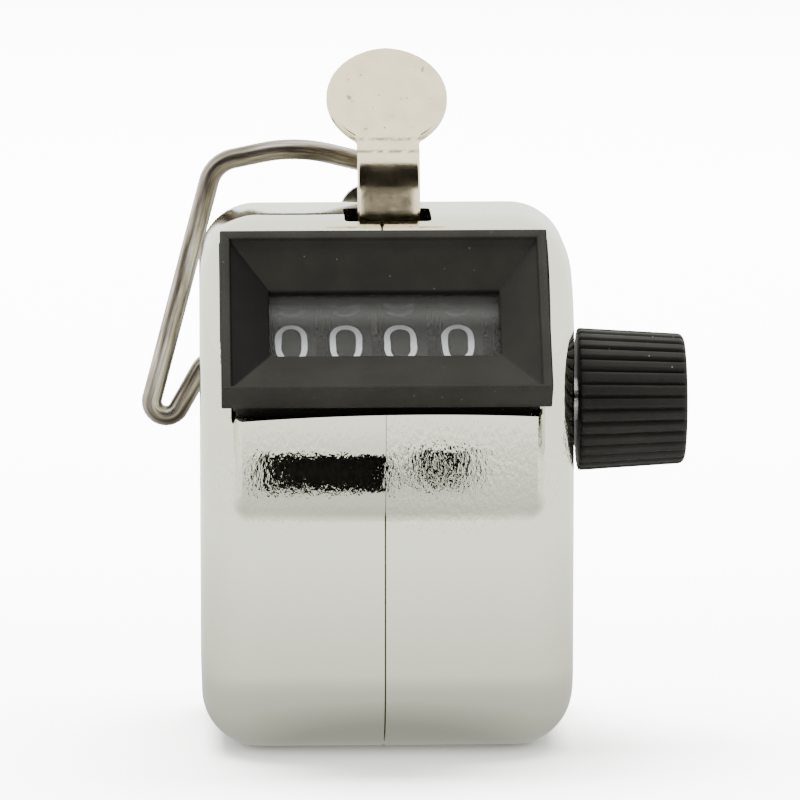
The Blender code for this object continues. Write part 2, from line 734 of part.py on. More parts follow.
def thumb_lever(parent):
    """Stem with its pad, the hub on the pivot pin, and two arms that carry the pawl."""
    bend_start = BEND[1] - BEND_R * tan(PAD_TILT / 2)
    bend = arc((STEM_F - BEND_R, bend_start), BEND_R, 0, degrees(PAD_TILT), 5)
    stem_path = [(STEM_F, PIVOT[1] + 1.0), *bend, pad_point(3.0)]
    stem_x = (LEVER_X - STEM_W / 2, LEVER_X + STEM_W / 2)
    lever = prism("thumb_lever", strip(stem_path, LEVER_T), *stem_x, PARTS)
    combine(lever, lever_pad("lever_pad"), "UNION")
    hub_x = (ARM_LEFT + 2 * PROUD, ARM_RIGHT + LEVER_T - 2 * PROUD)
    combine(lever, rod("lever_hub", HUB_R_OUT, *hub_x, *PIVOT, TOOLS, 32), "UNION")
    for side, x0 in (("left", ARM_LEFT), ("right", ARM_RIGHT)):
        for piece in lever_arm(side, x0):
            combine(lever, piece, "UNION")
    reach = CASE_W
    bores = {"lever_bore": (PIVOT_R, PIVOT), "pawl_pin_bore": (PAWL_PIN_R, PAWL_PIVOT)}
    for name, (radius, centre) in bores.items():
        combine(lever, rod(name, radius + GAP, -reach, reach, *centre, TOOLS), "DIFFERENCE")
    finish_part(lever, ((0.72, 0.68, 0.6), 1.0, 0.3))
    hold(lever, parent)


def lever_pivot_pin():
    head = PLATE_LEFT - GAP
    end = PLATE_RIGHT + PLATE_T + 0.8
    profile = [(head - HEAD_T, 0), (head - HEAD_T, TIE_HEAD_TOP_R - HEAD_EDGE)]
    profile += [(head, TIE_HEAD_TOP_R), (head, PIVOT_R), (end, PIVOT_R), (end, 0)]
    pin = turned("lever_pivot_pin", profile, (0, *PIVOT), PARTS, 20)
    finish_part(pin, (STEEL, 1.0, 0.3))


def coil(name, centre, radius, wire_r, x0, x1, turns, legs):
    """A torsion spring about an X axis: a close coil and a straight leg at each end."""
    steps = 12
    points = []
    start, end = legs
    total = int(turns * steps)
    first_angle = atan2(start[1], start[0]) + pi / 2
    for i in range(total + 1):
        angle = first_angle - 2 * pi * i / steps
        x = x0 + (x1 - x0) * i / total
        points.append((x, centre[0] + radius * cos(angle), centre[1] + radius * sin(angle)))
    first = points[0]
    points.insert(0, (first[0], first[1] + start[0], first[2] + start[1]))
    last = points[-1]
    points.append((last[0], last[1] + end[0], last[2] + end[1]))
    return wire(name, [world(*p) for p in points], wire_r, PARTS)


def lever_return_spring():
    x0 = PLATE_LEFT + PLATE_T + GAP + 0.3
    x1 = ARM_LEFT - GAP - 0.3
    legs = ((1.6, -2.2), (-2.6, 0.6))
    spring = coil("lever_return_spring", PIVOT, 1.45, 0.2, x0, x1, 6.25, legs)
    finish_part(spring, (STEEL, 1.0, 0.3))


def drive_pawl(parent):
    """A sleeve on the pawl pin with one finger for each ratchet."""
    x0 = ARM_LEFT + LEVER_T + GAP
    x1 = ARM_RIGHT - GAP
    pawl = tube("drive_pawl", PAWL_PIN_R + GAP, PAWL_SLEEVE, x0, x1, *PAWL_PIVOT, PARTS, 24)
    along = Vector((cos(PAWL_ANGLE), sin(PAWL_ANGLE)))
    across = Vector((-along.y, along.x))
    centre = Vector(PAWL_PIVOT)
    root, root_half_w, tip_half_w = 0.95, 0.8, 0.35
    corners = [(root, root_half_w), (root, -root_half_w), (PAWL_LENGTH, -tip_half_w)]
    corners.append((PAWL_LENGTH, tip_half_w))
    outline = [tuple(centre + along * a + across * b) for a, b in corners]
    for i in range(WHEEL_COUNT):
        finger = prism(f"pawl_finger_{i}", outline, *finger_x(i), TOOLS)
        combine(pawl, finger, "UNION")
    finish_part(pawl, (STEEL, 1.0, 0.35))
    hold(pawl, parent)


def pawl_pin(parent):
    """The pawl's pin, and on its left end the spring that turns the pawl towards the wheels."""
    x0 = ARM_LEFT - 2.3
    x1 = ARM_RIGHT + LEVER_T + 0.35
    pin = rod("pawl_pin", PAWL_PIN_R, x0, x1, *PAWL_PIVOT, PARTS, 20)
    finish_part(pin, (STEEL, 1.0, 0.3))
    hold(pin, parent)
    legs = ((1.2, 0.9), (0.4, -1.6))
    coil_x = (x0 + 0.3, ARM_LEFT - GAP - 0.2)
    spring = coil("pawl_spring", PAWL_PIVOT, 1.05, 0.14, *coil_x, 4.25, legs)
    finish_part(spring, (STEEL, 1.0, 0.3))
    hold(spring, parent)


def ring_corner(before, corner, after, radius, steps):
    """Points of a rounded corner between two straight runs, all as (x, z)."""
    a = (Vector(before) - Vector(corner)).normalized()
    b = (Vector(after) - Vector(corner)).normalized()
    half = a.angle(b) / 2
    reach = radius * cos(half) / sin(half)
    centre = Vector(corner) + (a + b).normalized() * (radius / sin(half))
    start = Vector(corner) + a * reach - centre
    end = Vector(corner) + b * reach - centre
    sweep = start.angle_signed(end)
    angles = [-sweep * i / steps for i in range(steps + 1)]
    return [tuple(centre + Matrix.Rotation(angle, 2) @ start) for angle in angles]


def ring_path():
    """The wire's route from its upper hook round the loop to its lower hook, as (x, z)."""
    corners = [
        ((0.0, 18.1), 1.3, 3),
        ((-7.4, 19.9), 14.0, 3),
        ((-14.6, 18.4), 2.8, 6),
        ((-20.6, -4.3), 1.3, 4),
        ((-18.2, -4.3), 1.3, 3),
        ((-15.2, 1.0), 2.5, 3),
        ((0.0, 1.0), 1.3, 3),
    ]
    places = [(0.0, 12.4)] + [c[0] for c in corners] + [(0.0, 5.8)]
    points = [places[0]]
    for i, (corner, radius, steps) in enumerate(corners):
        points += ring_corner(places[i], corner, places[i + 2], radius, steps)
    return points + [places[-1]]


def finger_ring(parent):
    points = [world(x, RING_F, z) for x, z in ring_path()]
    ring = wire("finger_ring", points, WIRE_R, PARTS, 3)
    finish_part(ring, ((0.72, 0.69, 0.62), 1.0, 0.2), radians(50))
    hold(ring, parent)


def bracket_strap(name, low, high):
    """A flat strap, its four corners rounded in the plane of the casing's back."""
    strap = box(name, low, high, PARTS)
    bevel = strap.modifiers.new("Corners", "BEVEL")
    bevel.width = BRACKET_ROUND * MM
    bevel.segments = 5
    bevel.limit_method = "WEIGHT"
    weights = strap.data.attributes.new("bevel_weight_edge", "FLOAT", "EDGE")
    for edge in strap.data.edges:
        one, other = (strap.data.vertices[v].co for v in edge.vertices)
        weights.data[edge.index].value = float(abs(one.y - other.y) > 1e-6)
    return strap


def ring_bracket():
    """The strap on the back of the casing, with a knuckle for each hook of the ring."""
    face = CASE_BACK - GAP
    low = (-BRACKET_HALF_W, face - BRACKET_T, BRACKET_Z[0])
    high = (BRACKET_HALF_W, face, BRACKET_Z[1])
    bracket = bracket_strap("ring_bracket", low, high)
    for side, (z0, z1) in KNUCKLES.items():
        profile = [(z0, 0), (z0, KNUCKLE_R), (z1, KNUCKLE_R), (z1, 0)]
        knuckle = turned(f"knuckle_{side}", profile, (0, RING_F, 0), TOOLS, 24, "Z")
        combine(bracket, knuckle, "UNION")
    bore = [(-5, 0), (-5, WIRE_R + GAP), (25, WIRE_R + GAP), (25, 0)]
    combine(bracket, turned("knuckle_bore", bore, (0, RING_F, 0), TOOLS, 20, "Z"), "DIFFERENCE")
    for side, x in RIVET_X.items():
        combine(bracket, rivet_hole(f"bracket_hole_{side}", x), "DIFFERENCE")
    finish_part(bracket, ((0.6, 0.58, 0.54), 1.0, 0.3))


def bracket_rivets():
    """Two rivets through the bracket and the back wall, with a head at each end."""
    outside = BRACKET_T + 2 * GAP - CASE_BACK
    inside = -CASE_BACK - WALL - GAP
    head = RIVET_HEAD_R
    profile = [(inside - RIVET_HEAD_T, 0), (inside - RIVET_HEAD_T, head - 0.1), (inside, head)]
    profile += [(inside, RIVET_R), (outside, RIVET_R), (outside, head)]
    profile += [(outside + RIVET_HEAD_T, head - 0.4), (outside + RIVET_HEAD_T, 0)]
    for side, x in RIVET_X.items():
        rivet = turned(f"bracket_rivet_{side}", profile, (x, 0, RIVET_Z), PARTS, 16, "Y")
        finish_part(rivet, (STEEL, 1.0, 0.3))


def joint_empty(name, x, f, z, parent=None):
    empty = bpy.data.objects.new(name, None)
    PARTS.objects.link(empty)
    empty.empty_display_size = 0.01
    empty.location = world(x, f, z)
    bpy.context.view_layer.update()
    if parent:
        hold(empty, parent)
    return empty


def hold(obj, parent):
    """Parents obj and leaves it where it is."""
    bpy.context.view_layer.update()
    place = obj.matrix_world.copy()
    obj.parent = parent
    obj.matrix_parent_inverse = parent.matrix_world.inverted()
    obj.matrix_world = place


def build():
    casing()
    bezel()
    frame()
    case_bolt()
    spacers()
    detent_comb()
    comb_screws()
    reset = joint_empty("reset_axis", 0, 0, 0)
    reset_shaft(reset)
    reset_knob(reset)
    knob_screw(reset)
    for index, place in enumerate(("thousands", "hundreds", "tens", "units")):
        axis = joint_empty(f"{place}_axis", wheel_x(index), 0, 0, reset)
        number_wheel(f"number_wheel_{place}", index, axis)
    lever_pivot_pin()
    lever_return_spring()
    lever = joint_empty("lever_axis", 0, *PIVOT)
    thumb_lever(lever)
    pawl_pin(lever)
    drive_pawl(joint_empty("pawl_axis", 0, *PAWL_PIVOT, lever))
    ring_bracket()
    bracket_rivets()
    finger_ring(joint_empty("ring_axis", 0, RING_F, 0))


clear_scene()
PARTS = collection("hand_tally_counter", bpy.context.scene.collection)
TOOLS = collection("cutters", bpy.context.scene.collection)
build()
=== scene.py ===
import json
from math import asin, ceil, cos, exp, hypot, pi, radians, sin, sqrt, tan

import bmesh
import bpy
from mathutils import Matrix, Vector, noise

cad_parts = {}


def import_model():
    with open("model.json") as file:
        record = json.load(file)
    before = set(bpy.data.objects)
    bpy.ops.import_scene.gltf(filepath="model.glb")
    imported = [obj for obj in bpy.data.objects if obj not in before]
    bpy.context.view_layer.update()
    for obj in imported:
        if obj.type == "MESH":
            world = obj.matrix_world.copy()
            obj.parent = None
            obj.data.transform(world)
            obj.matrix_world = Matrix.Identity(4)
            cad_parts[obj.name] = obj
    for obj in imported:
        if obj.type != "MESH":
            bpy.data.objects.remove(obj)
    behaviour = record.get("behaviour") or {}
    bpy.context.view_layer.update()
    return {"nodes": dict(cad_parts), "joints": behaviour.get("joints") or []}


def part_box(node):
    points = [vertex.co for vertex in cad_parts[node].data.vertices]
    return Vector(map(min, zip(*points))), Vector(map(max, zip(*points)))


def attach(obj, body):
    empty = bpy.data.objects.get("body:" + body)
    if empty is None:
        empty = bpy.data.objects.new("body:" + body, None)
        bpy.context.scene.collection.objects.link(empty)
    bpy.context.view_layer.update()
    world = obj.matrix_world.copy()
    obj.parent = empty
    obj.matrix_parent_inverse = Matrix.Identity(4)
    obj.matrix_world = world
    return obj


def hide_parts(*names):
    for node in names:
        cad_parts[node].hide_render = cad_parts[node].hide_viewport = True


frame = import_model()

MM = 0.001
NODES = frame["nodes"]
JOINTS = {joint["name"]: joint for joint in frame["joints"]}

# The side view: f forward and z up from the axis of the number wheels, in millimetres
AXIS = Vector(JOINTS["reset_turn"]["pos_m"])


def world(x, f, z):
    return Vector((x * MM, AXIS.y - f * MM, AXIS.z + z * MM))


def side_view(name):
    """A joint's place in the side view."""
    place = Vector(JOINTS[name]["pos_m"])
    return (AXIS.y - place.y) / MM, (place.z - AXIS.z) / MM


def box_mm(node):
    """The node's box as (x, f, z) ranges in the side view's millimetres."""
    low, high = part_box(node)
    return (
        (low[0] / MM, high[0] / MM),
        ((AXIS.y - high[1]) / MM, (AXIS.y - low[1]) / MM),
        ((low[2] - AXIS.z) / MM, (high[2] - AXIS.z) / MM),
    )


def middle(span):
    return (span[0] + span[1]) / 2


# Casing, from the CAD shells' boxes
LEFT_BOX = box_mm("left_shell")
RIGHT_BOX = box_mm("right_shell")
HALF_W = -LEFT_BOX[0][0]
SEAM = (LEFT_BOX[0][1] + RIGHT_BOX[0][0]) / 2
SEAM_GAP = 0.05
CASE_BACK = LEFT_BOX[1][0]
CASE_FRONT = 11.0
CASE_BOTTOM = LEFT_BOX[2][0]
CASE_TOP = LEFT_BOX[2][1]
SIDE_ROUND = 5.0
WALL = 0.9
NOSE_HALF = 13.3
NOSE_TOP = 0.9
NOSE_FOOT = -8.4
NOSE_TOP_F = 13.1
NOSE_CROWN = 0.0212  # how fast the crest falls back, above and below CREST_Z
CREST_Z = 1.5
NOSE_BULGE = 0.0009
NOSE_CORNER = 1.6
NOSE_BLEND = 0.75
NOSE_ARCH = 0.0024
ARCH_X = 3.0
RIVET_HOLE_R = 0.95
SLOT_X = 0.2
SLOT_HALF = 3.75
SLOT_FRONT = 1.7
SLOT_BACK = -4.3

# Bezel: u up its slope, n out of it, from the wheel axis
BEZEL_X = sum(box_mm("bezel")[0]) / 2
BEZEL_HALF_W = (box_mm("bezel")[0][1] - box_mm("bezel")[0][0]) / 2
BEZEL_HALF_L = 8.3
BEZEL_FACE = 13.5
BEZEL_BACK = 10.45
RIM = 0.85
RIM_STEP = 0.9
RIM_SINK = 0.4
LOW_RIM = 0.25
FUNNEL_DEPTH = 2.2
WINDOW_DEPTH = 2.9
POCKET_DEPTH = 2.95
POCKET_HALF_W = 10.7
POCKET_HALF_L = 4.3
LENS_FRONT = BEZEL_BACK - 0.2
LENS_HALF_L = 4.0
LENS_T = 1.0
NECK_HALF_W = 13.0
NECK_HALF_L = 7.5
NECK_BACK = 8.9
WINDOW_HALF_W = 9.85
WINDOW_HALF_L = 3.4

# Wheels
WHEEL_NAMES = ("thousands", "hundreds", "tens", "units")
WHEEL_R = (box_mm("number_wheel_units")[1][1] - box_mm("number_wheel_units")[1][0]) / 2
DRUM_W = 3.6
WHEEL_BORE = 2.15
HUB_R = 3.2
TEETH = 10
TOOTH = ((0.0, 4.8), (0.02, 5.8), (0.2, 5.8), (0.45, 5.3), (0.75, 4.95))  # (share of its turn, radius)
RATCHET_W = 0.8
DIGIT_STEP = radians(36)
DIGIT_HEIGHT = radians(24.5)
DIGIT_W = 2.25
DIGIT_STROKE = 0.6
PAINT_T = 0.03
PAINT_LIFT = 0.005
ZERO_ANGLE = radians(44.6)
PRINT_SHIFTS = (-0.35, -0.44, -0.53, -0.35)  # each wheel's numerals, off its middle

# Lever: the stem stands at STEM_F and bends back into the pad's plane
LEVER_X = 0.35
STEM_HALF = 2.7
SHEET = 1.0
PAD_R = 5.25
PAD_REACH = 7.76
PAD_TILT = radians(45)
STEM_F = -1.3
BEND = (STEM_F, 19.9)
BEND_R = 4.7
PRESS_LINES = (21.4, 22.35)  # heights of two lines that the press tool left
LINE_SPAN = (19.0, 25.0)  # the heights between which the lever's material looks for them
LINE_DEPTH = 0.03
LINE_REACH = 0.14


def slope(x, u, n):
    """A point of the bezel's slope, with x from the bezel's own middle."""
    return world(BEZEL_X + x, (n - u) * sqrt(0.5), (n + u) * sqrt(0.5))


# ---------------------------------------------------------------- node materials

GRAIN_DEPTH = 0.00002
CHROME = (0.66, 0.665, 0.53)
PEEL_DEPTH = 0.0000032
PATCH_REACH = (0.014, 0.02, 0.0065)
DUST = (0.17, 0.17, 0.158, 1)
# Painted shade: tones of the plastic by the way a face points along an axis, from 0 (against it) to 1
# (along it)
PAINTED_FACING_SHADE = {
    "X": [(0.3, 0.75), (0.42, 1.0), (0.58, 1.0), (0.7, 0.25)],
    "Z": [(0.15, 0.76), (0.66, 1.0), (0.85, 0.73), (0.975, 0.5)],
}


class Shader:
    """A Principled material with a few node helpers."""

    def __init__(self, name, **values):
        self.material = bpy.data.materials.new(name)
        self.material.use_nodes = True
        self.tree = self.material.node_tree
        self.shader = self.tree.nodes["Principled BSDF"]
        for socket, value in values.items():
            self.shader.inputs[socket.replace("_", " ")].default_value = value
        self.place = self.add("ShaderNodeTexCoord").outputs["Object"]

    def add(self, kind, **settings):
        node = self.tree.nodes.new(kind)
        for key, value in settings.items():
            setattr(node, key, value)
        return node

    def link(self, output, target):
        self.tree.links.new(output, target)

    def mapped(self, kind="POINT", **values):
        """The material's own place, moved, turned or stretched."""
        node = self.add("ShaderNodeMapping", vector_type=kind)
        for socket, value in values.items():
            node.inputs[socket].default_value = value
        self.link(self.place, node.inputs["Vector"])
        return node.outputs["Vector"]

    def nearness(self, reach, centre=(0, 0, 0)):
        """1 at a point of the object, falling to 0 at reach from it along each axis."""
        ball = self.add("ShaderNodeTexGradient", gradient_type="SPHERICAL")
        self.link(self.mapped(kind="TEXTURE", Location=centre, Scale=reach), ball.inputs["Vector"])
        return ball.outputs["Fac"]

    def noise(self, scale, detail=3.0, rough=0.5, stretch=(1, 1, 1), turn=0.0):
        node = self.add("ShaderNodeTexNoise")
        node.inputs["Scale"].default_value = scale
        node.inputs["Detail"].default_value = detail
        node.inputs["Roughness"].default_value = rough
        self.link(self.mapped(Scale=stretch, Rotation=(0, turn, 0)), node.inputs["Vector"])
        return node.outputs["Fac"]

    def axes(self, vector):
        node = self.add("ShaderNodeSeparateXYZ")
        self.link(vector, node.inputs["Vector"])
        return node.outputs

    def level(self, low, high):
        """Height on the object, from 0 at low to 1 at high, both in metres."""
        above = self.maths("SUBTRACT", self.axes(self.place)["Z"], low)
        return self.maths("DIVIDE", above, high - low)

    def times(self, base, tone):
        """One colour multiplied by another."""
        mix = self.add("ShaderNodeMix", data_type="RGBA", blend_type="MULTIPLY")
        mix.inputs["Factor"].default_value = 1.0
        self.link(base, mix.inputs["A"])
        self.link(tone, mix.inputs["B"])
        return mix.outputs["Result"]

    def ramp(self, value, stops):
        node = self.add("ShaderNodeValToRGB")
        elements = node.color_ramp.elements
        while len(elements) < len(stops):
            elements.new(0.5)
        for element, (place, colour) in zip(elements, stops):
            element.position = place
            element.color = (*colour, 1) if hasattr(colour, "__len__") else (colour,) * 3 + (1,)
        self.link(value, node.inputs["Fac"])
        return node.outputs["Color"]

    def maths(self, operation, a, b):
        node = self.add("ShaderNodeMath", operation=operation)
        for socket, value in zip(node.inputs, (a, b)):
            if isinstance(value, (int, float)):
                socket.default_value = value
            else:
                self.link(value, socket)
        return node.outputs["Value"]

    def bump(self, height, strength, distance=GRAIN_DEPTH):
        node = self.add("ShaderNodeBump")
        node.inputs["Strength"].default_value = strength
        node.inputs["Distance"].default_value = distance
        self.link(height, node.inputs["Height"])
        self.link(node.outputs["Normal"], self.shader.inputs["Normal"])

    def colour(self, output):
        self.link(output, self.shader.inputs["Base Color"])

    def roughness(self, output):
        self.link(output, self.shader.inputs["Roughness"])


def chrome_material(name, pitted, depth):
    """Bright plate: fine orange peel, a few dull specks, and a pitted patch about one point."""
    made = Shader(name, Metallic=1.0, Roughness=0.06)
    dark = tuple(0.8 * c for c in CHROME)
    made.colour(made.ramp(made.noise(260, 2), [(0.0, dark), (0.24, CHROME), (1.0, CHROME)]))
    made.roughness(made.ramp(made.noise(90, 4), [(0.3, 0.03), (0.75, 0.06)]))
    fine = made.noise(3400, 2, 0.6, stretch=(1, 1, 0.38), turn=0.45)
    peel = made.maths("ADD", fine, made.maths("MULTIPLY", made.noise(330, 2), 1.2))
    patch = made.maths("MULTIPLY", made.nearness(PATCH_REACH, pitted), depth)
    pits = made.maths("MULTIPLY", made.maths("SUBTRACT", fine, 0.5), patch)
    made.bump(made.maths("ADD", peel, pits), 0.7, PEEL_DEPTH)
    return made.material


def satin(name, tint, rough, grain, stretch=(1, 1, 1)):
    """Worn satin plate with a fine tumbled grain: the unfinished material and its colour."""
    made = Shader(name, Metallic=1.0, Roughness=rough)
    dark = tuple(0.82 * c for c in tint)
    base = made.ramp(made.noise(420, 4, 0.6, stretch), [(0.25, dark), (0.6, tint)])
    made.roughness(made.ramp(made.noise(800, 4, 0.6, stretch), [(0.3, rough * 0.7), (0.7, rough * 1.3)]))
    made.bump(made.noise(2600, 4, 0.7, stretch), grain)
    return made, base


def satin_metal(*settings):
    made, base = satin(*settings)
    made.colour(base)
    return made.material


def lever_material():
    """Worn nickel, with painted shade along the two lines of the press tool, and flecked on the pad."""
    made, base = satin("lever nickel", (0.80, 0.69, 0.47), 0.16, 0.25)
    low, high = (world(0, 0, z).z for z in LINE_SPAN)
    lines = []
    for line in PRESS_LINES:
        at = (line - LINE_SPAN[0]) / (LINE_SPAN[1] - LINE_SPAN[0])
        lines += [(at - 0.03, 1.0), (at, 0.25), (at + 0.03, 1.0)]
    # Painted shade: dark bands along the two press lines
    line_shade = made.ramp(made.level(low, high), lines)
    wear_and_line_shade = made.maths("MAXIMUM", line_shade, made.ramp(made.noise(1500, 3, 0.6), [(0.4, 0.35), (0.62, 1.0)]))
    spots = made.ramp(made.noise(1300, 2, 0.5), [(0.69, 1.0), (0.74, 0.45)])
    made.colour(made.times(made.times(base, wear_and_line_shade), spots))
    return made.material


def streaked_metal(name):
    """Worn nickel wire with streaks drawn out along it: brown tarnish, and dark and bright bands of painted
    reflection.
    """
    made = Shader(name, Metallic=1.0, Roughness=0.2)
    made.place = made.add("ShaderNodeAttribute", attribute_name="wire").outputs["Vector"]
    streaks = made.noise(1.0, 4, 0.6, (0.12, 1.5, 1.5))
    # Partly tarnish, partly painted reflection: the near-black and bright stops stand for what the wire
    # mirrors
    stops = [
        (0.34, (0.07, 0.06, 0.045)),
        (0.46, (0.2, 0.175, 0.135)),
        (0.54, (0.33, 0.3, 0.25)),
        (0.68, (0.62, 0.58, 0.51)),
    ]
    made.colour(made.ramp(streaks, stops))
    made.roughness(made.ramp(streaks, [(0.3, 0.42), (0.7, 0.24)]))
    made.bump(made.noise(5.0, 3, 0.6, (0.2, 1, 1)), 0.1)
    return made.material


def moulded(name, tint, rough, grain, dust=0.0, shade_by_facing=False):
    """Moulded plastic with a spark-eroded grain. The last setting paints shade on each of its sides by the
    way that side faces.
    """
    made = Shader(name, Roughness=rough, Specular_IOR_Level=0.04)
    light = tuple(1.35 * c for c in tint)
    base = made.ramp(made.noise(200, 3), [(0.35, tint), (0.75, light)])
    if dust:
        base = dusty(made, base, dust)
    if shade_by_facing:
        # Painted shade: each face is darkened by the way it points along x and z
        facing = made.axes(made.add("ShaderNodeNewGeometry").outputs["Normal"])
        for axis, stops in PAINTED_FACING_SHADE.items():
            half = made.maths("MULTIPLY", facing[axis], 0.5)
            base = made.times(base, made.ramp(made.maths("ADD", half, 0.5), stops))
    made.colour(base)
    made.roughness(made.ramp(made.noise(600, 3), [(0.3, rough * 0.9), (0.7, rough * 1.12)]))
    made.bump(made.noise(5200, 3, 0.7), grain)
    return made.material


def dusty(made, base, amount):
    """A colour with sparse pale specks over it."""
    specks = made.add("ShaderNodeTexVoronoi")
    specks.inputs["Scale"].default_value = 1000
    made.link(made.place, specks.inputs["Vector"])
    chosen = made.ramp(specks.outputs["Distance"], [(0.0, amount), (0.04, amount), (0.08, 0.0)])
    sparse = made.ramp(made.noise(700, 1), [(0.5, 0.0), (0.7, 1.0)])
    mix = made.add("ShaderNodeMix", data_type="RGBA")
    made.link(made.maths("MULTIPLY", chosen, sparse), mix.inputs["Factor"])
    made.link(base, mix.inputs["A"])
    mix.inputs["B"].default_value = DUST
    return mix.outputs["Result"]


def window_material():
    """Clear moulded plastic with a faint haze, and painted shade that thickens it towards its top edge."""
    made = Shader("window clear", Roughness=0.03, IOR=1.5, Specular_IOR_Level=0.1)
    made.colour(made.ramp(made.noise(150, 2), [(0.3, (0.036, 0.036, 0.034)), (0.8, (0.042, 0.042, 0.039))]))
    low, high = (slope(0.0, u, BEZEL_BACK).z for u in (-WINDOW_HALF_L, WINDOW_HALF_L))
    # A faint haze low down, then painted shade: darker and more opaque towards the top edge
    haze_and_top_shade = made.ramp(made.level(low, high), [(0.5, 0.24), (0.6, 0.4), (0.7, 0.62), (0.82, 0.84)])
    made.link(haze_and_top_shade, made.shader.inputs["Alpha"])
    made.bump(made.noise(400, 2), 0.02)
    return made.material


def paint_material():
    """The white of the printed digits, a little worn."""
    made = Shader("digit white", Roughness=0.55)
    stops = [(0.2, (0.5, 0.51, 0.5)), (0.38, (0.84, 0.87, 0.88)), (0.8, (0.9, 0.93, 0.94))]
    made.colour(made.ramp(made.noise(1500, 4, 0.7), stops))
    made.bump(made.noise(4000, 3), 0.3)
    return made.material


LOOKS = {
    "left_shell": chrome_material("case chrome left", world(-10.5, 12.5, -4.2), 60.0),
    "right_shell": chrome_material("case chrome right", world(5.0, 12.5, -4.0), 110.0),
    # The bezel gets painted shade on its faces by the way they point
    "bezel": moulded("bezel black", (0.01, 0.0098, 0.0082), 0.42, 0.12, 0.7, shade_by_facing=True),
    "wheel": moulded("wheel black", (0.019, 0.0188, 0.0172), 0.5, 0.03),
    "knob": moulded("knob black", (0.0068, 0.0066, 0.0056), 0.5, 0.15, 0.5),
    "lever": lever_material(),
    "ring": streaked_metal("ring nickel"),
    "bracket": satin_metal("bracket nickel", (0.4, 0.37, 0.32), 0.2, 0.15),
    "steel": satin_metal("frame steel", (0.58, 0.57, 0.55), 0.32, 0.2),
    "turned": satin_metal("turned steel", (0.64, 0.63, 0.61), 0.25, 0.12, (4, 1, 1)),
    "spring": satin_metal("spring steel", (0.5, 0.49, 0.47), 0.28, 0.12),
    "brass": satin_metal("turned brass", (0.72, 0.54, 0.26), 0.3, 0.15, (4, 1, 1)),
    "window": window_material(),
    "digits": paint_material(),
}


# ---------------------------------------------------------------- mesh helpers


def keep_piece(obj, body, look, nodes=(), angle=35):
    """Shading, material, body and the CAD nodes that this piece stands for."""
    obj.data.materials.clear()
    obj.data.materials.append(LOOKS[look])
    obj.data.shade_smooth()
    obj.data.set_sharp_from_angle(angle=radians(angle))
    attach(obj, body)
    if nodes:
        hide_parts(*nodes)


def placed(name, data):
    obj = bpy.data.objects.new(name, data)
    bpy.context.scene.collection.objects.link(obj)
    return obj


def from_bmesh(name, shape):
    bmesh.ops.remove_doubles(shape, verts=shape.verts, dist=1e-7)
    bmesh.ops.recalc_face_normals(shape, faces=shape.faces)
    data = bpy.data.meshes.new(name)
    shape.to_mesh(data)
    shape.free()
    return placed(name, data)


def join_rings(shape, one, other):
    """Quads between two rings of as many corners."""
    for i in range(len(one)):
        shape.faces.new((one[i - 1], one[i], other[i], other[i - 1]))


def loft(name, rings, wrap=False):
    """Quads between rings of world points: the end rings are capped, or joined when it wraps."""
    shape = bmesh.new()
    made = [[shape.verts.new(p) for p in ring] for ring in rings]
    for one, other in zip(made, made[1:]):
        join_rings(shape, one, other)
    if wrap:
        join_rings(shape, made[-1], made[0])
    else:
        shape.faces.new(made[0])
        shape.faces.new(made[-1])
    return from_bmesh(name, shape)


def arc(centre, radius, start, end, steps):
    angles = [radians(start + (end - start) * i / steps) for i in range(steps + 1)]
    return [(centre[0] + radius * cos(a), centre[1] + radius * sin(a)) for a in angles]


def rounded(profile, radius, steps=3):
    """A closed profile with each corner rounded, as far as its sides allow."""
    points = []
    count = len(profile)
    for i, corner in enumerate(profile):
        here = Vector(corner)
        a = Vector(profile[i - 1]) - here
        b = Vector(profile[(i + 1) % count]) - here
        reach = min(radius, a.length * 0.45, b.length * 0.45)
        start = here + a.normalized() * reach
        end = here + b.normalized() * reach
        for k in range(steps + 1):
            t = k / steps
            points.append(tuple(start * (1 - t) ** 2 + here * (2 * t * (1 - t)) + end * t * t))
    return points


def turns(steps):
    return [2 * pi * i / steps for i in range(steps)]


def spokes(axis, steps):
    """Unit vectors out from an axis, all the way round."""
    side = Vector((0, 0, 1)) if abs(axis.z) < 0.5 else Vector((1, 0, 0))
    other = axis.cross(side)
    return [side * cos(angle) + other * sin(angle) for angle in turns(steps)]


def lathe(name, profile, place, axis=(1, 0, 0), steps=64):
    """A closed profile of (along, radius), turned about an axis through a world point."""
    along = Vector(axis)
    rings = [[place + (along * a + out * r) * MM for a, r in profile] for out in spokes(along, steps)]
    return loft(name, rings, wrap=True)


def sleeve(name, span, radii, corner, place, axis=(1, 0, 0), steps=64):
    """A tube over a span of its axis, between an inner and an outer radius."""
    (start, end), (inner, outer) = span, radii
    profile = [(start, inner), (start, outer), (end, outer), (end, inner)]
    return lathe(name, rounded(profile, corner), place, axis, steps)


def plug(name, profile, place, axis=(1, 0, 0), steps=32):
    """A solid cutter: circles of (along, radius) about an axis through a world point."""
    along = Vector(axis)
    rings = [[place + (along * a + out * r) * MM for out in spokes(along, steps)] for a, r in profile]
    return loft(name, rings)


def dense(points, step):
    """The same run with points no further apart than step."""
    made = [points[0]]
    for a, b in zip(points, points[1:]):
        count = max(1, ceil((Vector(b) - Vector(a)).length / step))
        made += [tuple(Vector(a).lerp(Vector(b), i / count)) for i in range(1, count + 1)]
    return made


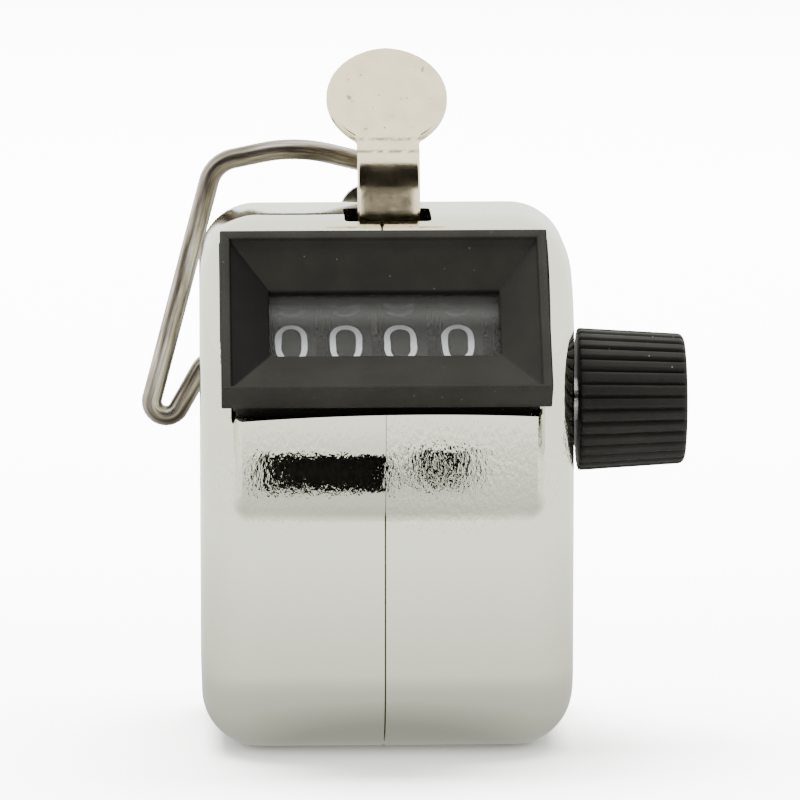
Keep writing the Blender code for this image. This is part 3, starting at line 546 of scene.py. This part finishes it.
def fillet(before, corner, after, radius, steps):
    """The round of a corner, from the line before it to the line after it."""
    a = (Vector(before) - Vector(corner)).normalized()
    b = (Vector(after) - Vector(corner)).normalized()
    half = a.angle(b) / 2
    reach = radius / tan(half)
    centre = Vector(corner) + (a + b).normalized() * (radius / sin(half))
    start = Vector(corner) + a * reach - centre
    end = Vector(corner) + b * reach - centre
    sweep = -start.angle_signed(end)
    return [tuple(centre + Matrix.Rotation(sweep * i / steps, 2) @ start) for i in range(steps + 1)]


def smooth_run(points):
    """A quadratic curve through the ends, drawn towards the middle point."""
    a, b, c = (Vector(p) for p in points)
    b = b * 1.25 - (a + c) * 0.125
    return [tuple(a * (1 - t) ** 2 + b * 2 * t * (1 - t) + c * t * t) for t in (i / 12 for i in range(13))]


def strip_outline(points, width):
    """The outline of a strip of one width along a run of points."""
    left, right = [], []
    for i, point in enumerate(points):
        here = Vector(point)
        along = Vector(points[min(i + 1, len(points) - 1)]) - Vector(points[max(i - 1, 0)])
        normal = Vector((-along.y, along.x)).normalized() * width / 2
        left.append(tuple(here + normal))
        right.append(tuple(here - normal))
    return left + right[::-1]


def slab(name, outline, x0, x1, edge=0.12):
    """A side-view outline as a plate between two x values, its edges rounded."""
    shape = bmesh.new()
    bottom = shape.faces.new([shape.verts.new(world(x0, f, z)) for f, z in outline])
    moved = bmesh.ops.extrude_face_region(shape, geom=[bottom])
    corners = [v for v in moved["geom"] if isinstance(v, bmesh.types.BMVert)]
    bmesh.ops.translate(shape, verts=corners, vec=Vector(((x1 - x0) * MM, 0, 0)))
    obj = from_bmesh(name, shape)
    soften(obj, edge)
    return obj


def soften(obj, width, segments=2, angle=40):
    bevel = obj.modifiers.new("Edges", "BEVEL")
    bevel.width = width * MM
    bevel.segments = segments
    bevel.limit_method = "ANGLE"
    bevel.angle_limit = radians(angle)
    bevel.harden_normals = False
    return obj


def applied(obj):
    """Turns an object's modifiers into its mesh."""
    bpy.context.view_layer.update()
    graph = bpy.context.evaluated_depsgraph_get()
    data = bpy.data.meshes.new_from_object(obj.evaluated_get(graph))
    obj.modifiers.clear()
    old = obj.data
    obj.data = data
    bpy.data.meshes.remove(old)
    return obj


def cut(obj, cutters):
    for cutter in cutters:
        modifier = obj.modifiers.new("Cut", "BOOLEAN")
        modifier.operation = "DIFFERENCE"
        modifier.solver = "EXACT"
        modifier.object = cutter
    applied(obj)
    for cutter in cutters:
        bpy.data.objects.remove(cutter)


def join(objects):
    """Joins meshes into the first of them."""
    shape = bmesh.new()
    for obj in objects:
        shape.from_mesh(obj.data)
    data = bpy.data.meshes.new(objects[0].name)
    shape.to_mesh(data)
    shape.free()
    objects[0].data = data
    for obj in objects[1:]:
        bpy.data.objects.remove(obj)


def slope_block(name, half_w, u0, u1, n0, n1, corner=0.0):
    """A block on the bezel's slope, its four upright edges rounded."""
    outline = [(-half_w, u0), (half_w, u0), (half_w, u1), (-half_w, u1)]
    if corner:
        outline = rounded(outline, corner, 4)
    return loft(name, [[slope(x, u, n) for x, u in outline] for n in (n0, n1)])


def upright_block(name, x0, x1, f0, f1, z0, z1, corner):
    outline = rounded([(x0, f0), (x1, f0), (x1, f1), (x0, f1)], corner, 4)
    return loft(name, [[world(x, f, z) for x, f in outline] for z in (z0, z1)])


def smoothstep(value):
    value = min(max(value, 0.0), 1.0)
    return value * value * (3 - 2 * value)


# ---------------------------------------------------------------- casing

# Corner rounds of the side view: (to the front or back, to the top or bottom, radius, arc steps)
CORNERS = ((1, -1, 7.0, 20), (1, 1, 12.0, 26), (-1, 1, 7.0, 16), (-1, -1, 6.0, 14))
STRAIGHTS = (64, 10, 14, 8)  # steps along the side that follows each corner


def case_outline(inset):
    """The side view of the casing, anticlockwise from the front of the bottom."""
    points = []
    f_sides = {1: CASE_FRONT - inset, -1: CASE_BACK + inset}
    z_sides = {1: CASE_TOP - inset, -1: CASE_BOTTOM + inset}
    arcs = []
    for number, (to_f, to_z, radius, steps) in enumerate(CORNERS):
        reach = radius - inset
        centre = (f_sides[to_f] - to_f * reach, z_sides[to_z] - to_z * reach)
        arcs.append(arc(centre, reach, 90 * number - 90, 90 * number, steps))
    for number, corner in enumerate(arcs):
        points += corner
        start = Vector(corner[-1])
        end = Vector(arcs[(number + 1) % 4][0])
        count = STRAIGHTS[number]
        points += [tuple(start.lerp(end, i / count)) for i in range(1, count)]
    return points


def nose_lift(x, f, z, wall):
    """How far forward the raised panel under the window stands here. wall is the skin's depth."""
    dx = abs(x) - (NOSE_HALF - wall - NOSE_CORNER)
    dz = (NOSE_FOOT + wall + NOSE_CORNER) - z
    outside = hypot(max(dx, 0.0), max(dz, 0.0)) + min(max(dx, dz), 0.0) - NOSE_CORNER
    crest = NOSE_TOP_F - wall - NOSE_CROWN * (z - CREST_Z) ** 2 - NOSE_BULGE * x * x
    return max(crest - f, 0.0) * smoothstep(-outside / NOSE_BLEND)


def shell_stations(side, wall):
    """(x, inset) from the seam to the side: a softened edge, the flat, then the round."""
    edge = SEAM + side * SEAM_GAP / 2
    if wall:
        softened = [(0.0, 0.0), (0.18, 0.0)]
    else:
        softened = [(0.0, 0.16), (0.03, 0.06), (0.09, 0.015), (0.18, 0.0)]
    stations = [(edge + side * step, inset + wall) for step, inset in softened]
    first = stations[-1][0]
    flat_end = side * (HALF_W - SIDE_ROUND)
    flat_steps = 24
    for i in range(1, flat_steps + 1):
        stations.append((first + (flat_end - first) * i / flat_steps, wall))
    reach = SIDE_ROUND - wall
    round_steps = 30
    for i in range(1, round_steps + 1):
        angle = pi / 2 * i / round_steps
        stations.append((flat_end + side * reach * sin(angle), wall + reach * (1 - cos(angle))))
    return stations


def shell_skin(shape, side, wall):
    """One skin of a casing half: rings of corners from the seam to the side, faced and capped."""
    rings = []
    for x, inset in shell_stations(side, wall):
        ring = []
        for f, z in case_outline(inset):
            forward = nose_lift(x, f, z, wall) if f > 0 and z < 6 else 0.0
            ring.append(shape.verts.new(world(x, f + forward, z)))
        rings.append(ring)
    for one, other in zip(rings, rings[1:]):
        join_rings(shape, one, other)
    shape.faces.new(rings[-1])
    return rings[0]


def shell_surface(name, side):
    """One half of the casing: an outer and an inner skin, joined round the seam."""
    shape = bmesh.new()
    join_rings(shape, shell_skin(shape, side, 0.0), shell_skin(shape, side, WALL))
    return from_bmesh(name, shape)


def nose_edge_cut():
    """Frees the neck above the raised panel, whose top edge is slightly arched."""
    half = NECK_HALF_W + 0.3
    steps = 24
    edge = [(-half + 2 * half * i / steps) for i in range(steps + 1)]
    outline = [(x + BEZEL_X, NOSE_TOP - NOSE_ARCH * (x - ARCH_X) ** 2) for x in edge]
    outline += [(half + BEZEL_X, 2.6), (-half + BEZEL_X, 2.6)]
    return loft("edge_cut", [[world(x, f, z) for x, z in outline] for f in (10.2, 16.0)])


def opening_cuts():
    """Cutters for the neck, the bezel's seat and the lever's slot, with rounded corners."""
    neck_gap, bezel_gap, corner = 0.15, 0.08, 0.5
    neck_w, neck_l = NECK_HALF_W + neck_gap, NECK_HALF_L + neck_gap
    seat_w, seat_top = BEZEL_HALF_W + bezel_gap, BEZEL_HALF_L + bezel_gap
    slot = (SLOT_X - SLOT_HALF, SLOT_X + SLOT_HALF, SLOT_BACK, SLOT_FRONT)
    return [
        slope_block("neck_cut", neck_w, -neck_l, neck_l, 6, 20, corner),
        slope_block("bezel_cut", seat_w, -BEZEL_HALF_L - 3, seat_top, BEZEL_BACK - 0.2, 22, corner),
        upright_block("slot_cut", *slot, 10, 20, corner),
        nose_edge_cut(),
    ]


def rivet_hole(side_name, f):
    """A cutter through the sheet at f, for one of the bracket's rivets."""
    rivet = box_mm(f"bracket_rivet_{side_name}")
    place = world(middle(rivet[0]), f, middle(rivet[2]))
    return plug("rivet_cut", [(-4, RIVET_HOLE_R), (4, RIVET_HOLE_R)], place, (0, 1, 0))


def shell(side_name, side):
    obj = shell_surface(f"{side_name}_casing", side)
    cutters = opening_cuts() + [rivet_hole(side_name, CASE_BACK)]
    if side > 0:
        cutters.append(plug("shaft_cut", [(10, 2.1), (20, 2.1)], world(0, 0, 0), steps=48))
    else:
        bolt = box_mm("case_bolt")
        sink = [(-20, 2.3), (-16.0, 2.3), (-14.95, 1.25), (-12, 1.25)]
        cutters.append(plug("bolt_cut", sink, world(0, middle(bolt[1]), middle(bolt[2]))))
    cut(obj, cutters)
    if len(obj.data.vertices) < 10000:
        raise ValueError(f"a cut failed on the {side_name} shell")
    keep_piece(obj, "casing", f"{side_name}_shell", [f"{side_name}_shell"], 40)


def bolt_boss():
    """The tube inside the right shell that the bolt threads into."""
    bolt = box_mm("case_bolt")
    place = world(0, middle(bolt[1]), middle(bolt[2]))
    obj = sleeve("bolt_boss", (12.6, 15.05), (1.25, 2.3), 0.12, place)
    keep_piece(obj, "casing", "right_shell")


# ---------------------------------------------------------------- bezel and window


def bezel():
    """Nested frames from the neck round the outside, over the rim and down the funnel."""
    inner = BEZEL_HALF_L - RIM_STEP
    frames = [  # half width, reach down, reach up, distance out from the wheel axis
        (NECK_HALF_W, NECK_HALF_L, NECK_HALF_L, NECK_BACK),
        (NECK_HALF_W, NECK_HALF_L, NECK_HALF_L, BEZEL_BACK),
        (BEZEL_HALF_W, BEZEL_HALF_L, BEZEL_HALF_L, BEZEL_BACK),
        (BEZEL_HALF_W, BEZEL_HALF_L, BEZEL_HALF_L, BEZEL_FACE),
        (BEZEL_HALF_W - RIM, BEZEL_HALF_L - LOW_RIM, BEZEL_HALF_L - RIM, BEZEL_FACE),
        (BEZEL_HALF_W - RIM_STEP, inner + RIM - LOW_RIM, inner, BEZEL_FACE - RIM_SINK),
        (WINDOW_HALF_W, WINDOW_HALF_L, WINDOW_HALF_L, BEZEL_FACE - FUNNEL_DEPTH),
        (WINDOW_HALF_W, WINDOW_HALF_L, WINDOW_HALF_L, BEZEL_FACE - WINDOW_DEPTH),
        (POCKET_HALF_W, POCKET_HALF_L, POCKET_HALF_L, BEZEL_FACE - POCKET_DEPTH),
        (POCKET_HALF_W, POCKET_HALF_L, POCKET_HALF_L, NECK_BACK),
    ]
    rings = []
    for w, low, high, n in frames:
        rings.append([slope(x, u, n) for x, u in ((-w, -low), (w, -low), (w, high), (-w, high))])
    obj = loft("bezel_frame", rings, wrap=True)
    soften(obj, 0.13, 3, 20)
    applied(obj)
    join([obj, neck_shelf(), pocket_bar()])
    keep_piece(obj, "casing", "bezel", ["bezel"], 30)


def neck_shelf():
    """A lip behind the lower edge of the neck, a little shorter on the right."""
    left, right, low, high = -12.75, 12.3, -NECK_HALF_L, -6.9
    outline = [(left, low), (right, low), (right, high), (left, high)]
    return loft("bezel_shelf", [[slope(x, u, n) for x, u in outline] for n in (8.1, 9.1)])


def pocket_bar():
    """A thin strip across the back of the pocket, behind the window's top edge."""
    overlap = 0.02
    back = NECK_BACK + overlap
    top = POCKET_HALF_L + overlap
    return slope_block("bezel_bar", POCKET_HALF_W + overlap, 3.85, top, back, back + 0.25)


def window():
    """A flat pane with softened edges, in the pocket behind the bezel's opening."""
    (x0, x1), _, _ = box_mm("window_lens")
    half_w = (x1 - x0) / 2
    span = (half_w, -LENS_HALF_L, LENS_HALF_L, LENS_FRONT - LENS_T, LENS_FRONT)
    obj = soften(slope_block("window_pane", *span, 0.4), 0.08)
    keep_piece(obj, "casing", "window", ["window_lens"])


# ---------------------------------------------------------------- number wheels


def ellipse_run(cx, cy, rx, ry, start, end, steps=20):
    angles = [radians(start + (end - start) * i / steps) for i in range(steps + 1)]
    return [(cx + rx * cos(a), cy + ry * sin(a)) for a in angles]


# Strokes of the plain numerals 0 to 9, each in a box 1 wide and 1.4 high, centred
TOP, FOOT = 0.7, -0.7
STROKES = (
    [ellipse_run(0, 0.2, 0.5, 0.5, 0, 180) + ellipse_run(0, -0.2, 0.5, 0.5, 180, 360) + [(0.5, 0.2)]],
    [[(-0.25, 0.42), (0.05, TOP), (0.05, FOOT)]],
    [ellipse_run(0, 0.27, 0.46, 0.43, 165, -35) + [(-0.48, FOOT), (0.5, FOOT)]],
    [ellipse_run(-0.02, 0.34, 0.43, 0.36, 160, -90) + ellipse_run(-0.02, -0.34, 0.48, 0.36, 90, -160)],
    [[(0.52, -0.3), (-0.52, -0.3), (0.2, TOP), (0.2, FOOT)]],
    [[(0.44, TOP), (-0.36, TOP), (-0.42, 0.08)] + ellipse_run(-0.02, -0.22, 0.5, 0.48, 140, -155)],
    [ellipse_run(0, -0.25, 0.47, 0.45, 100, 460), ellipse_run(0.35, -0.2, 0.82, 0.9, 178, 105, 10)],
    [[(-0.48, TOP), (0.48, TOP), (-0.08, FOOT)]],
    [ellipse_run(0, 0.34, 0.4, 0.36, 0, 360), ellipse_run(0, -0.34, 0.48, 0.36, 0, 360)],
    [ellipse_run(0, 0.27, 0.47, 0.43, 0, 360) + ellipse_run(0, -0.25, 0.47, 0.45, 0, -150)],
)


def ribbon(shape, points, to_world, half, seed):
    """A flat stroke along points, its edges a little uneven as in stamped paint."""
    lower, upper = [], []
    closed = (Vector(points[0]) - Vector(points[-1])).length < 1e-4
    for i, point in enumerate(points):
        here = Vector(point)
        before = Vector(points[max(i - 1, 0)])
        after = Vector(points[min(i + 1, len(points) - 1)])
        if closed and i in (0, len(points) - 1):
            before = Vector(points[-2])
            after = Vector(points[1])
        along = (after - before).normalized()
        normal = Vector((-along.y, along.x))
        ragged = [noise.noise(Vector((here.x * 2.5, here.y * 2.5, seed + k))) for k in (0, 7)]
        wide = half * (1 - 0.25 * abs(normal.y))
        lower.append(here - normal * wide * (1 + 0.3 * ragged[0]))
        upper.append(here + normal * wide * (1 + 0.3 * ragged[1]))
    for lift in (0.0, PAINT_T):
        rows = [[shape.verts.new(to_world(p, lift)) for p in side] for side in (lower, upper)]
        for i in range(1, len(points)):
            shape.faces.new((rows[0][i - 1], rows[0][i], rows[1][i], rows[1][i - 1]))
        if lift == 0.0:
            base = rows
    for one, other in zip(base, rows):
        for i in range(1, len(points)):
            shape.faces.new((one[i - 1], one[i], other[i], other[i - 1]))
    for end in () if closed else (0, -1):
        shape.faces.new((base[0][end], base[1][end], rows[1][end], rows[0][end]))


def digits(place, index, x):
    """Ten numerals round the drum: counting up brings the next one up from below."""
    unit = DIGIT_HEIGHT * WHEEL_R / (TOP - FOOT)
    shape = bmesh.new()
    for digit, strokes in enumerate(STROKES):
        centre = ZERO_ANGLE - digit * DIGIT_STEP

        def to_world(p, lift, centre=centre):
            angle = centre + p.y * unit / WHEEL_R
            radius = WHEEL_R + PAINT_LIFT + lift
            across = x + PRINT_SHIFTS[index] + p.x * DIGIT_W
            return world(across, radius * cos(angle), radius * sin(angle))

        half = DIGIT_STROKE / 2 / unit
        for number, stroke in enumerate(strokes):
            fine = dense(stroke, 0.07)
            ribbon(shape, fine, to_world, half, index * 31.7 + digit * 3.1 + number)
    obj = from_bmesh(f"digits_{place}", shape)
    keep_piece(obj, place, "digits")


def ratchet(place, x):
    """Saw teeth on the right face of a drum."""
    outline, inner = [], []
    for start in turns(TEETH):
        for share, radius in TOOTH:
            angle = start + share * 2 * pi / TEETH
            outline.append((radius * cos(angle), radius * sin(angle)))
            inner.append((WHEEL_BORE * cos(angle), WHEEL_BORE * sin(angle)))
    x0 = x + DRUM_W / 2 - 0.05
    x1 = x + DRUM_W / 2 + RATCHET_W
    rings = [
        [world(x0, f, z) for f, z in inner],
        [world(x0, f, z) for f, z in outline],
        [world(x1, f, z) for f, z in outline],
        [world(x1, f, z) for f, z in inner],
    ]
    obj = loft(f"ratchet_{place}", rings, wrap=True)
    soften(obj, 0.06, 2, 40)
    keep_piece(obj, place, "wheel", angle=30)


def number_wheel(place, index):
    node = f"number_wheel_{place}"
    x = box_mm(node)[0][0] + DRUM_W / 2
    half = DRUM_W / 2
    inner_r, web = WHEEL_R - 1.2, half - 1.0
    profile = [(-half, WHEEL_BORE), (-half, HUB_R), (web, HUB_R), (web, inner_r)]
    profile += [(-half, inner_r), (-half, WHEEL_R), (half, WHEEL_R), (half, WHEEL_BORE)]
    obj = lathe(f"drum_{place}", rounded(profile, 0.12), world(x, 0, 0), steps=120)
    keep_piece(obj, place, "wheel", [node])
    ratchet(place, x)
    digits(place, index, x)


# ---------------------------------------------------------------- knob


RIBS = 32
RIB_STEPS = 10
RIB_DEPTH = 0.34
RIB_END = 0.5  # the length over which the grooves run out at the free end
KNOB_TAPER = 0.092  # the share of its radius that the knob loses along its length
KNOB_ROUND = 0.55
KNOB_RECESS = ((0.0, 4.2), (0.0, 2.55), (0.1, 2.42), (1.9, 2.4))  # (depth, radius) in the free end


def knob_stations(length):
    """(along, inset) from the casing to the free end: a small round, the straight, a full round."""
    small = KNOB_ROUND / 2
    stations = [(0.0, small)]
    for angle in (radians(a) for a in (30, 60, 90)):
        stations.append((small * (1 - cos(angle)), small * (1 - sin(angle))))
    straight = length - 2 * KNOB_ROUND
    stations += [(KNOB_ROUND + straight * i / 12, 0.0) for i in range(13)]
    for angle in (radians(a) for a in (20, 40, 60, 78, 90)):
        stations.append((length - KNOB_ROUND * (1 - sin(angle)), KNOB_ROUND * (1 - cos(angle))))
    return stations


def knob():
    """A tapered knob with rounded ribs, a rounded rim and a recessed end."""
    (x0, x1), (f0, f1), _ = box_mm("reset_knob")
    length = x1 - x0
    angles = turns(RIBS * RIB_STEPS)
    rings = []
    for along, inset in knob_stations(length):
        base = (f1 - f0) / 2 * (1 - KNOB_TAPER * along / length) - inset
        groove = RIB_DEPTH * min(1.0, (length - along) / RIB_END)
        ring = []
        for angle in angles:
            radius = base - groove * max(0.0, cos(angle * RIBS)) ** 2.2
            ring.append(world(x0 + along, radius * cos(angle), radius * sin(angle)))
        rings.append(ring)
    for depth, radius in KNOB_RECESS:
        rings.append([world(x1 - depth, radius * cos(a), radius * sin(a)) for a in angles])
    obj = loft("ribbed_knob", rings)
    keep_piece(obj, "reset", "knob", ["reset_knob"], 50)


# ---------------------------------------------------------------- lever


def pad_point(along):
    return BEND[0] - along * sin(PAD_TILT), BEND[1] + along * cos(PAD_TILT)


def lever_path():
    """(f, z) points of the stem's middle: straight up from the hub, then back into the pad's plane."""
    foot = (STEM_F, side_view("lever_press")[1] + 1.0)
    return dense([foot] + fillet(foot, BEND, pad_point(3.0), BEND_R, 36), 0.12)


def lever_frame():
    """Stations along the stem and pad: (middle, direction, half width)."""
    path = [Vector(p) for p in lever_path()]
    stations = []
    for i, point in enumerate(path):
        ahead = path[min(i + 1, len(path) - 1)]
        behind = path[max(i - 1, 0)]
        stations.append((point, (ahead - behind).normalized(), STEM_HALF))
    direction = Vector((-sin(PAD_TILT), cos(PAD_TILT)))
    flare = 0.45
    open_angle = asin((STEM_HALF + flare) / PAD_R)
    joint = PAD_REACH - PAD_R * cos(open_angle)
    first = (path[-1] - Vector(BEND)).dot(direction)
    flare_from = max(joint - 0.8, first + 0.1)
    for i in range(1, 13):
        share = i / 12
        along = flare_from + (joint - flare_from) * share
        stations.append((Vector(pad_point(along)), direction, STEM_HALF + flare * share**2.5))
    steps = 44
    for i in range(1, steps + 1):
        angle = pi - open_angle - (pi - open_angle) * i / steps
        middle_at = Vector(pad_point(PAD_REACH + PAD_R * cos(angle)))
        stations.append((middle_at, direction, PAD_R * sin(angle)))
    return [(pressed(point, along), along, half) for point, along, half in stations]


def pressed(point, along):
    """Sinks the sheet a little at the two lines that the bending tool left."""
    depth = sum(LINE_DEPTH * exp(-(((point.y - line) / LINE_REACH) ** 2)) for line in PRESS_LINES)
    return point - Vector((along.y, -along.x)) * depth


def sheet_section(half, thick, round_r):
    """A rounded rectangle as (across, out): the sheet's cross section."""
    half = max(half, 0.02)
    reach = min(round_r, half * 0.9)
    points = []
    for sx, so, start in ((1, 1, 0), (-1, 1, 90), (-1, -1, 180), (1, -1, 270)):
        centre = (sx * (half - reach), so * (thick / 2 - round_r))
        for k in range(5):
            angle = radians(start + 22.5 * k)
            points.append((centre[0] + reach * cos(angle), centre[1] + round_r * sin(angle)))
        if so == sx:
            shares = [-v * sx for v in (-0.6, -0.2, 0.2, 0.6)]
            points += [(v * (half - reach), so * thick / 2) for v in shares]
    return points


def lever():
    rings = []
    for point, along, half in lever_frame():
        out = Vector((along.y, -along.x))
        ring = []
        for across, lift in sheet_section(half, SHEET, 0.28):
            place = point + out * lift
            ring.append(world(LEVER_X + across, place.x, place.y))
        rings.append(ring)
    obj = loft("lever_blade", rings)
    join([obj] + lever_body())
    keep_piece(obj, "lever", "lever", ["thumb_lever"], 50)


def lever_body():
    """The hub on the pivot pin and the two arms that carry the pawl."""
    pivot = side_view("lever_press")
    pawl = side_view("pawl_swing")
    (x0, x1), _, _ = box_mm("thumb_lever")
    pieces = [sleeve("hub", (x0 + 0.2, x1 - 0.2), (1.1, 1.8), 0.15, world(0, *pivot))]
    elbow = (-9.5, 11.0)
    path = [(pivot[0] - 1.3, pivot[1]), elbow, (pawl[0] + 0.4, pawl[1] + 1.0)]
    outline = strip_outline(dense(smooth_run(path), 0.5), 1.6)
    for start in (x0, x1 - SHEET):
        pieces.append(applied(slab("arm", outline, start, start + SHEET)))
        span = (start + 0.02, start + SHEET - 0.02)
        pieces.append(sleeve("eye", span, (0.9, 1.35), 0.1, world(0, *pawl), steps=40))
    return pieces


# ---------------------------------------------------------------- ring and bracket


def bent_wire(name, route, f, radius):
    """A round wire along (x, z) points, with its length and its round kept for the streaks."""
    rings, marks = [], []
    length = 0.0
    for i, point in enumerate(route):
        ahead = Vector(route[min(i + 1, len(route) - 1)])
        behind = Vector(route[max(i - 1, 0)])
        along = (ahead - behind).normalized()
        here = Vector(point)
        length += (here - Vector(route[max(i - 1, 0)])).length
        ring = []
        for a in turns(24):
            across = Vector((-along.y, along.x)) * radius * cos(a)
            ring.append(world(here.x + across.x, f + radius * sin(a), here.y + across.y))
            marks.append((length, cos(a), sin(a)))
        rings.append(ring)
    obj = loft(name, rings)
    kept = obj.data.attributes.new("wire", "FLOAT_VECTOR", "POINT")
    kept.data.foreach_set("vector", [value for mark in marks for value in mark])
    return obj


def finger_ring():
    """The bent wire, on the route of the CAD ring: (x, z) corners and the radius of each bend."""
    wire_r = 0.9
    corners = (
        ((0.0, 18.1), 1.3),
        ((-7.4, 19.9), 14.0),
        ((-14.6, 18.4), 2.8),
        ((-20.6, -4.3), 1.3),
        ((-18.2, -4.3), 1.3),
        ((-15.2, 1.0), 2.5),
        ((0.0, 1.0), 1.3),
    )
    places = [(0.0, 12.4)] + [c[0] for c in corners] + [(0.0, 5.8)]
    route = [places[0]]
    for i, (corner, radius) in enumerate(corners):
        route += fillet(places[i], corner, places[i + 2], radius, 14)
    route.append(places[-1])
    made = bent_wire("wire_ring", dense(route, 1.5), side_view("ring_swing")[0], wire_r)
    keep_piece(made, "ring", "ring", ["finger_ring"], 50)


def bracket():
    """The strap with two knuckles for the ring's hooks."""
    (x0, x1), _, (z0, z1) = box_mm("ring_bracket")
    plate_f = CASE_BACK - 0.3
    outline = rounded([(x0, z0), (x1, z0), (x1, z1), (x0, z1)], 3.4, 8)
    rings = [[world(x, f, z) for x, z in outline] for f in (plate_f, plate_f - 0.9)]
    plate = applied(soften(loft("bracket_plate", rings), 0.15))
    cut(plate, [rivet_hole(side_name, plate_f) for side_name in ("left", "right")])
    ring_f = side_view("ring_swing")[0]
    parts = [plate]
    for low, high in ((12.0, 15.6), (3.0, 6.2)):
        place = world(0, ring_f, 0)
        parts.append(sleeve("knuckle", (low, high), (1.1, 2.0), 0.15, place, (0, 0, 1), 48))
    join(parts)
    keep_piece(plate, "casing", "bracket", ["ring_bracket"])


# ---------------------------------------------------------------- carried-over nodes

CARRIED = {
    "steel": ("frame_plate_left", "frame_plate_right", "frame_tie_front", "frame_tie_rear", "drive_pawl"),
    "turned": (
        "case_bolt", "comb_screw_left", "comb_screw_right", "lever_pivot_pin", "reset_shaft",
        "bracket_rivet_left", "bracket_rivet_right", "knob_screw", "pawl_pin",
    ),
    "spring": ("detent_comb", "lever_return_spring", "shaft_clip", "pawl_spring"),
    "brass": ("wheel_spacer_left", "wheel_spacer_right"),
}


def carried_nodes():
    for look, names in CARRIED.items():
        for name in names:
            data = NODES[name].data
            data.materials.clear()
            data.materials.append(LOOKS[look])
            data.set_sharp_from_angle(angle=radians(35))


# ---------------------------------------------------------------- camera and studio


def aimed(obj, direction):
    obj.rotation_mode = "QUATERNION"
    obj.rotation_quaternion = direction.to_track_quat("-Z", "Y")


def camera():
    """Slightly above and to the left of the front, from 0.6 m with a long lens."""
    azimuth = radians(-2.0)
    elevation = radians(9.5)
    distance = 0.6
    field = 69.204 * MM  # the width in view at that distance
    aim = AXIS + Vector((1.27, 0.0, 0.0)) * MM
    back = Vector((sin(azimuth) * cos(elevation), -cos(azimuth) * cos(elevation), sin(elevation)))
    data = bpy.data.cameras.new("camera")
    data.sensor_width = 36.0
    data.lens = data.sensor_width * distance / field
    data.clip_start = 0.01
    obj = placed("camera", data)
    obj.location = aim + back * distance
    aimed(obj, -back)
    bpy.context.scene.camera = obj


def plain(name, colour):
    made = Shader(name, Roughness=1.0, Specular_IOR_Level=0.0)
    light = tuple(min(1.0, c * 1.02) for c in colour)
    made.colour(made.ramp(made.noise(12, 2), [(0.3, colour), (0.7, light)]))
    return made.material


SKY = 2.6  # brightness of the surroundings


def table_reflection():
    """What the plating shows of the table, with painted shade: it darkens towards the foot of the counter.
    """
    made = Shader("table reflection", Roughness=1.0, Specular_IOR_Level=0.0, Emission_Strength=SKY)
    made.shader.inputs["Base Color"].default_value = (0, 0, 0, 1)
    # Painted shade of the counter on the table, darker towards its foot
    stops = [(0.0, 0.95), (0.6, 0.88), (0.82, 0.58), (0.93, 0.38), (0.955, 0.2)]
    made.link(made.ramp(made.nearness((0.3, 0.26, 1.0)), stops), made.shader.inputs["Emission Color"])
    return made.material


def board(name, size, look):
    """A flat rectangle, width by height, on the stage."""
    shape = bmesh.new()
    bmesh.ops.create_grid(shape, x_segments=1, y_segments=1, size=0.5)
    for corner in shape.verts:
        corner.co.x *= size[0]
        corner.co.y *= size[1]
    data = bpy.data.meshes.new(name)
    shape.to_mesh(data)
    shape.free()
    data.materials.append(look)
    obj = placed(name, data)
    return obj


def card(name, centre, size, look, turn=radians(90)):
    """A board that only reflections show, upright unless it is turned."""
    obj = board(name, size, look)
    obj.location = centre
    obj.rotation_euler = (turn, 0, 0)
    obj.visible_camera = False
    obj.visible_diffuse = False
    obj.visible_transmission = False
    obj.visible_shadow = False
    return obj


def daylight():
    scene = bpy.context.scene
    surroundings = scene.world or bpy.data.worlds.new("studio")
    scene.world = surroundings
    surroundings.use_nodes = True
    background = surroundings.node_tree.nodes["Background"]
    background.inputs["Color"].default_value = (1.0, 1.0, 0.985, 1)
    background.inputs["Strength"].default_value = SKY


def back_light():
    """A soft light over the floor behind the counter, which nothing mirrors."""
    data = bpy.data.lights.new("behind", "AREA")
    data.shape = "RECTANGLE"
    data.size, data.size_y = 0.9, 0.6
    data.energy = 34.0
    data.spread = radians(90)
    obj = placed("behind", data)
    obj.location = (0.0, 0.32, 0.8)
    aimed(obj, Vector((0, 0, -1)))
    obj.visible_glossy = False
    obj.visible_camera = False


def studio():
    """The floor, the light, and the surroundings that the plating and the lever mirror."""
    floor_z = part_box("left_shell")[0][2] - 0.02 * MM
    floor = board("floor", (8.0, 8.0), plain("floor white", (0.9, 0.9, 0.89)))
    floor.location = (0, 0, floor_z)
    daylight()
    back_light()
    shade = card("shade", (0.0, -0.035, 0.42), (2.0, 0.58), plain("shade", (0.5, 0.5, 0.5)))
    # Unlike the other cards, the shade isn't mirrored: it casts a soft shadow
    shade.visible_glossy = False
    shade.visible_shadow = True
    card("table", (0, 0, floor_z + 0.01 * MM), (3.0, 3.0), table_reflection(), turn=0.0)
    card("room", (0.0, -0.75, 0.5), (2.4, 0.9), plain("room", (0.006, 0.0055, 0.005)))
    card("sill", (LEVER_X * MM, -0.03, 0.04475), (0.014, 0.0095), plain("sill", (0.04, 0.04, 0.038)))
    black = plain("black", (0.012, 0.012, 0.0125))
    flag_y = world(0, 15.0, 0).y
    card("flag", (-0.0057, flag_y, 0.023), (0.0112, 0.0052), black)
    card("small_flag", (0.0046, flag_y, 0.0237), (0.0046, 0.005), black)


camera()
studio()
shell("left", -1)
shell("right", 1)
bolt_boss()
bezel()
window()
for number, place in enumerate(WHEEL_NAMES):
    number_wheel(place, number)
knob()
lever()
finger_ring()
bracket()
carried_nodes()
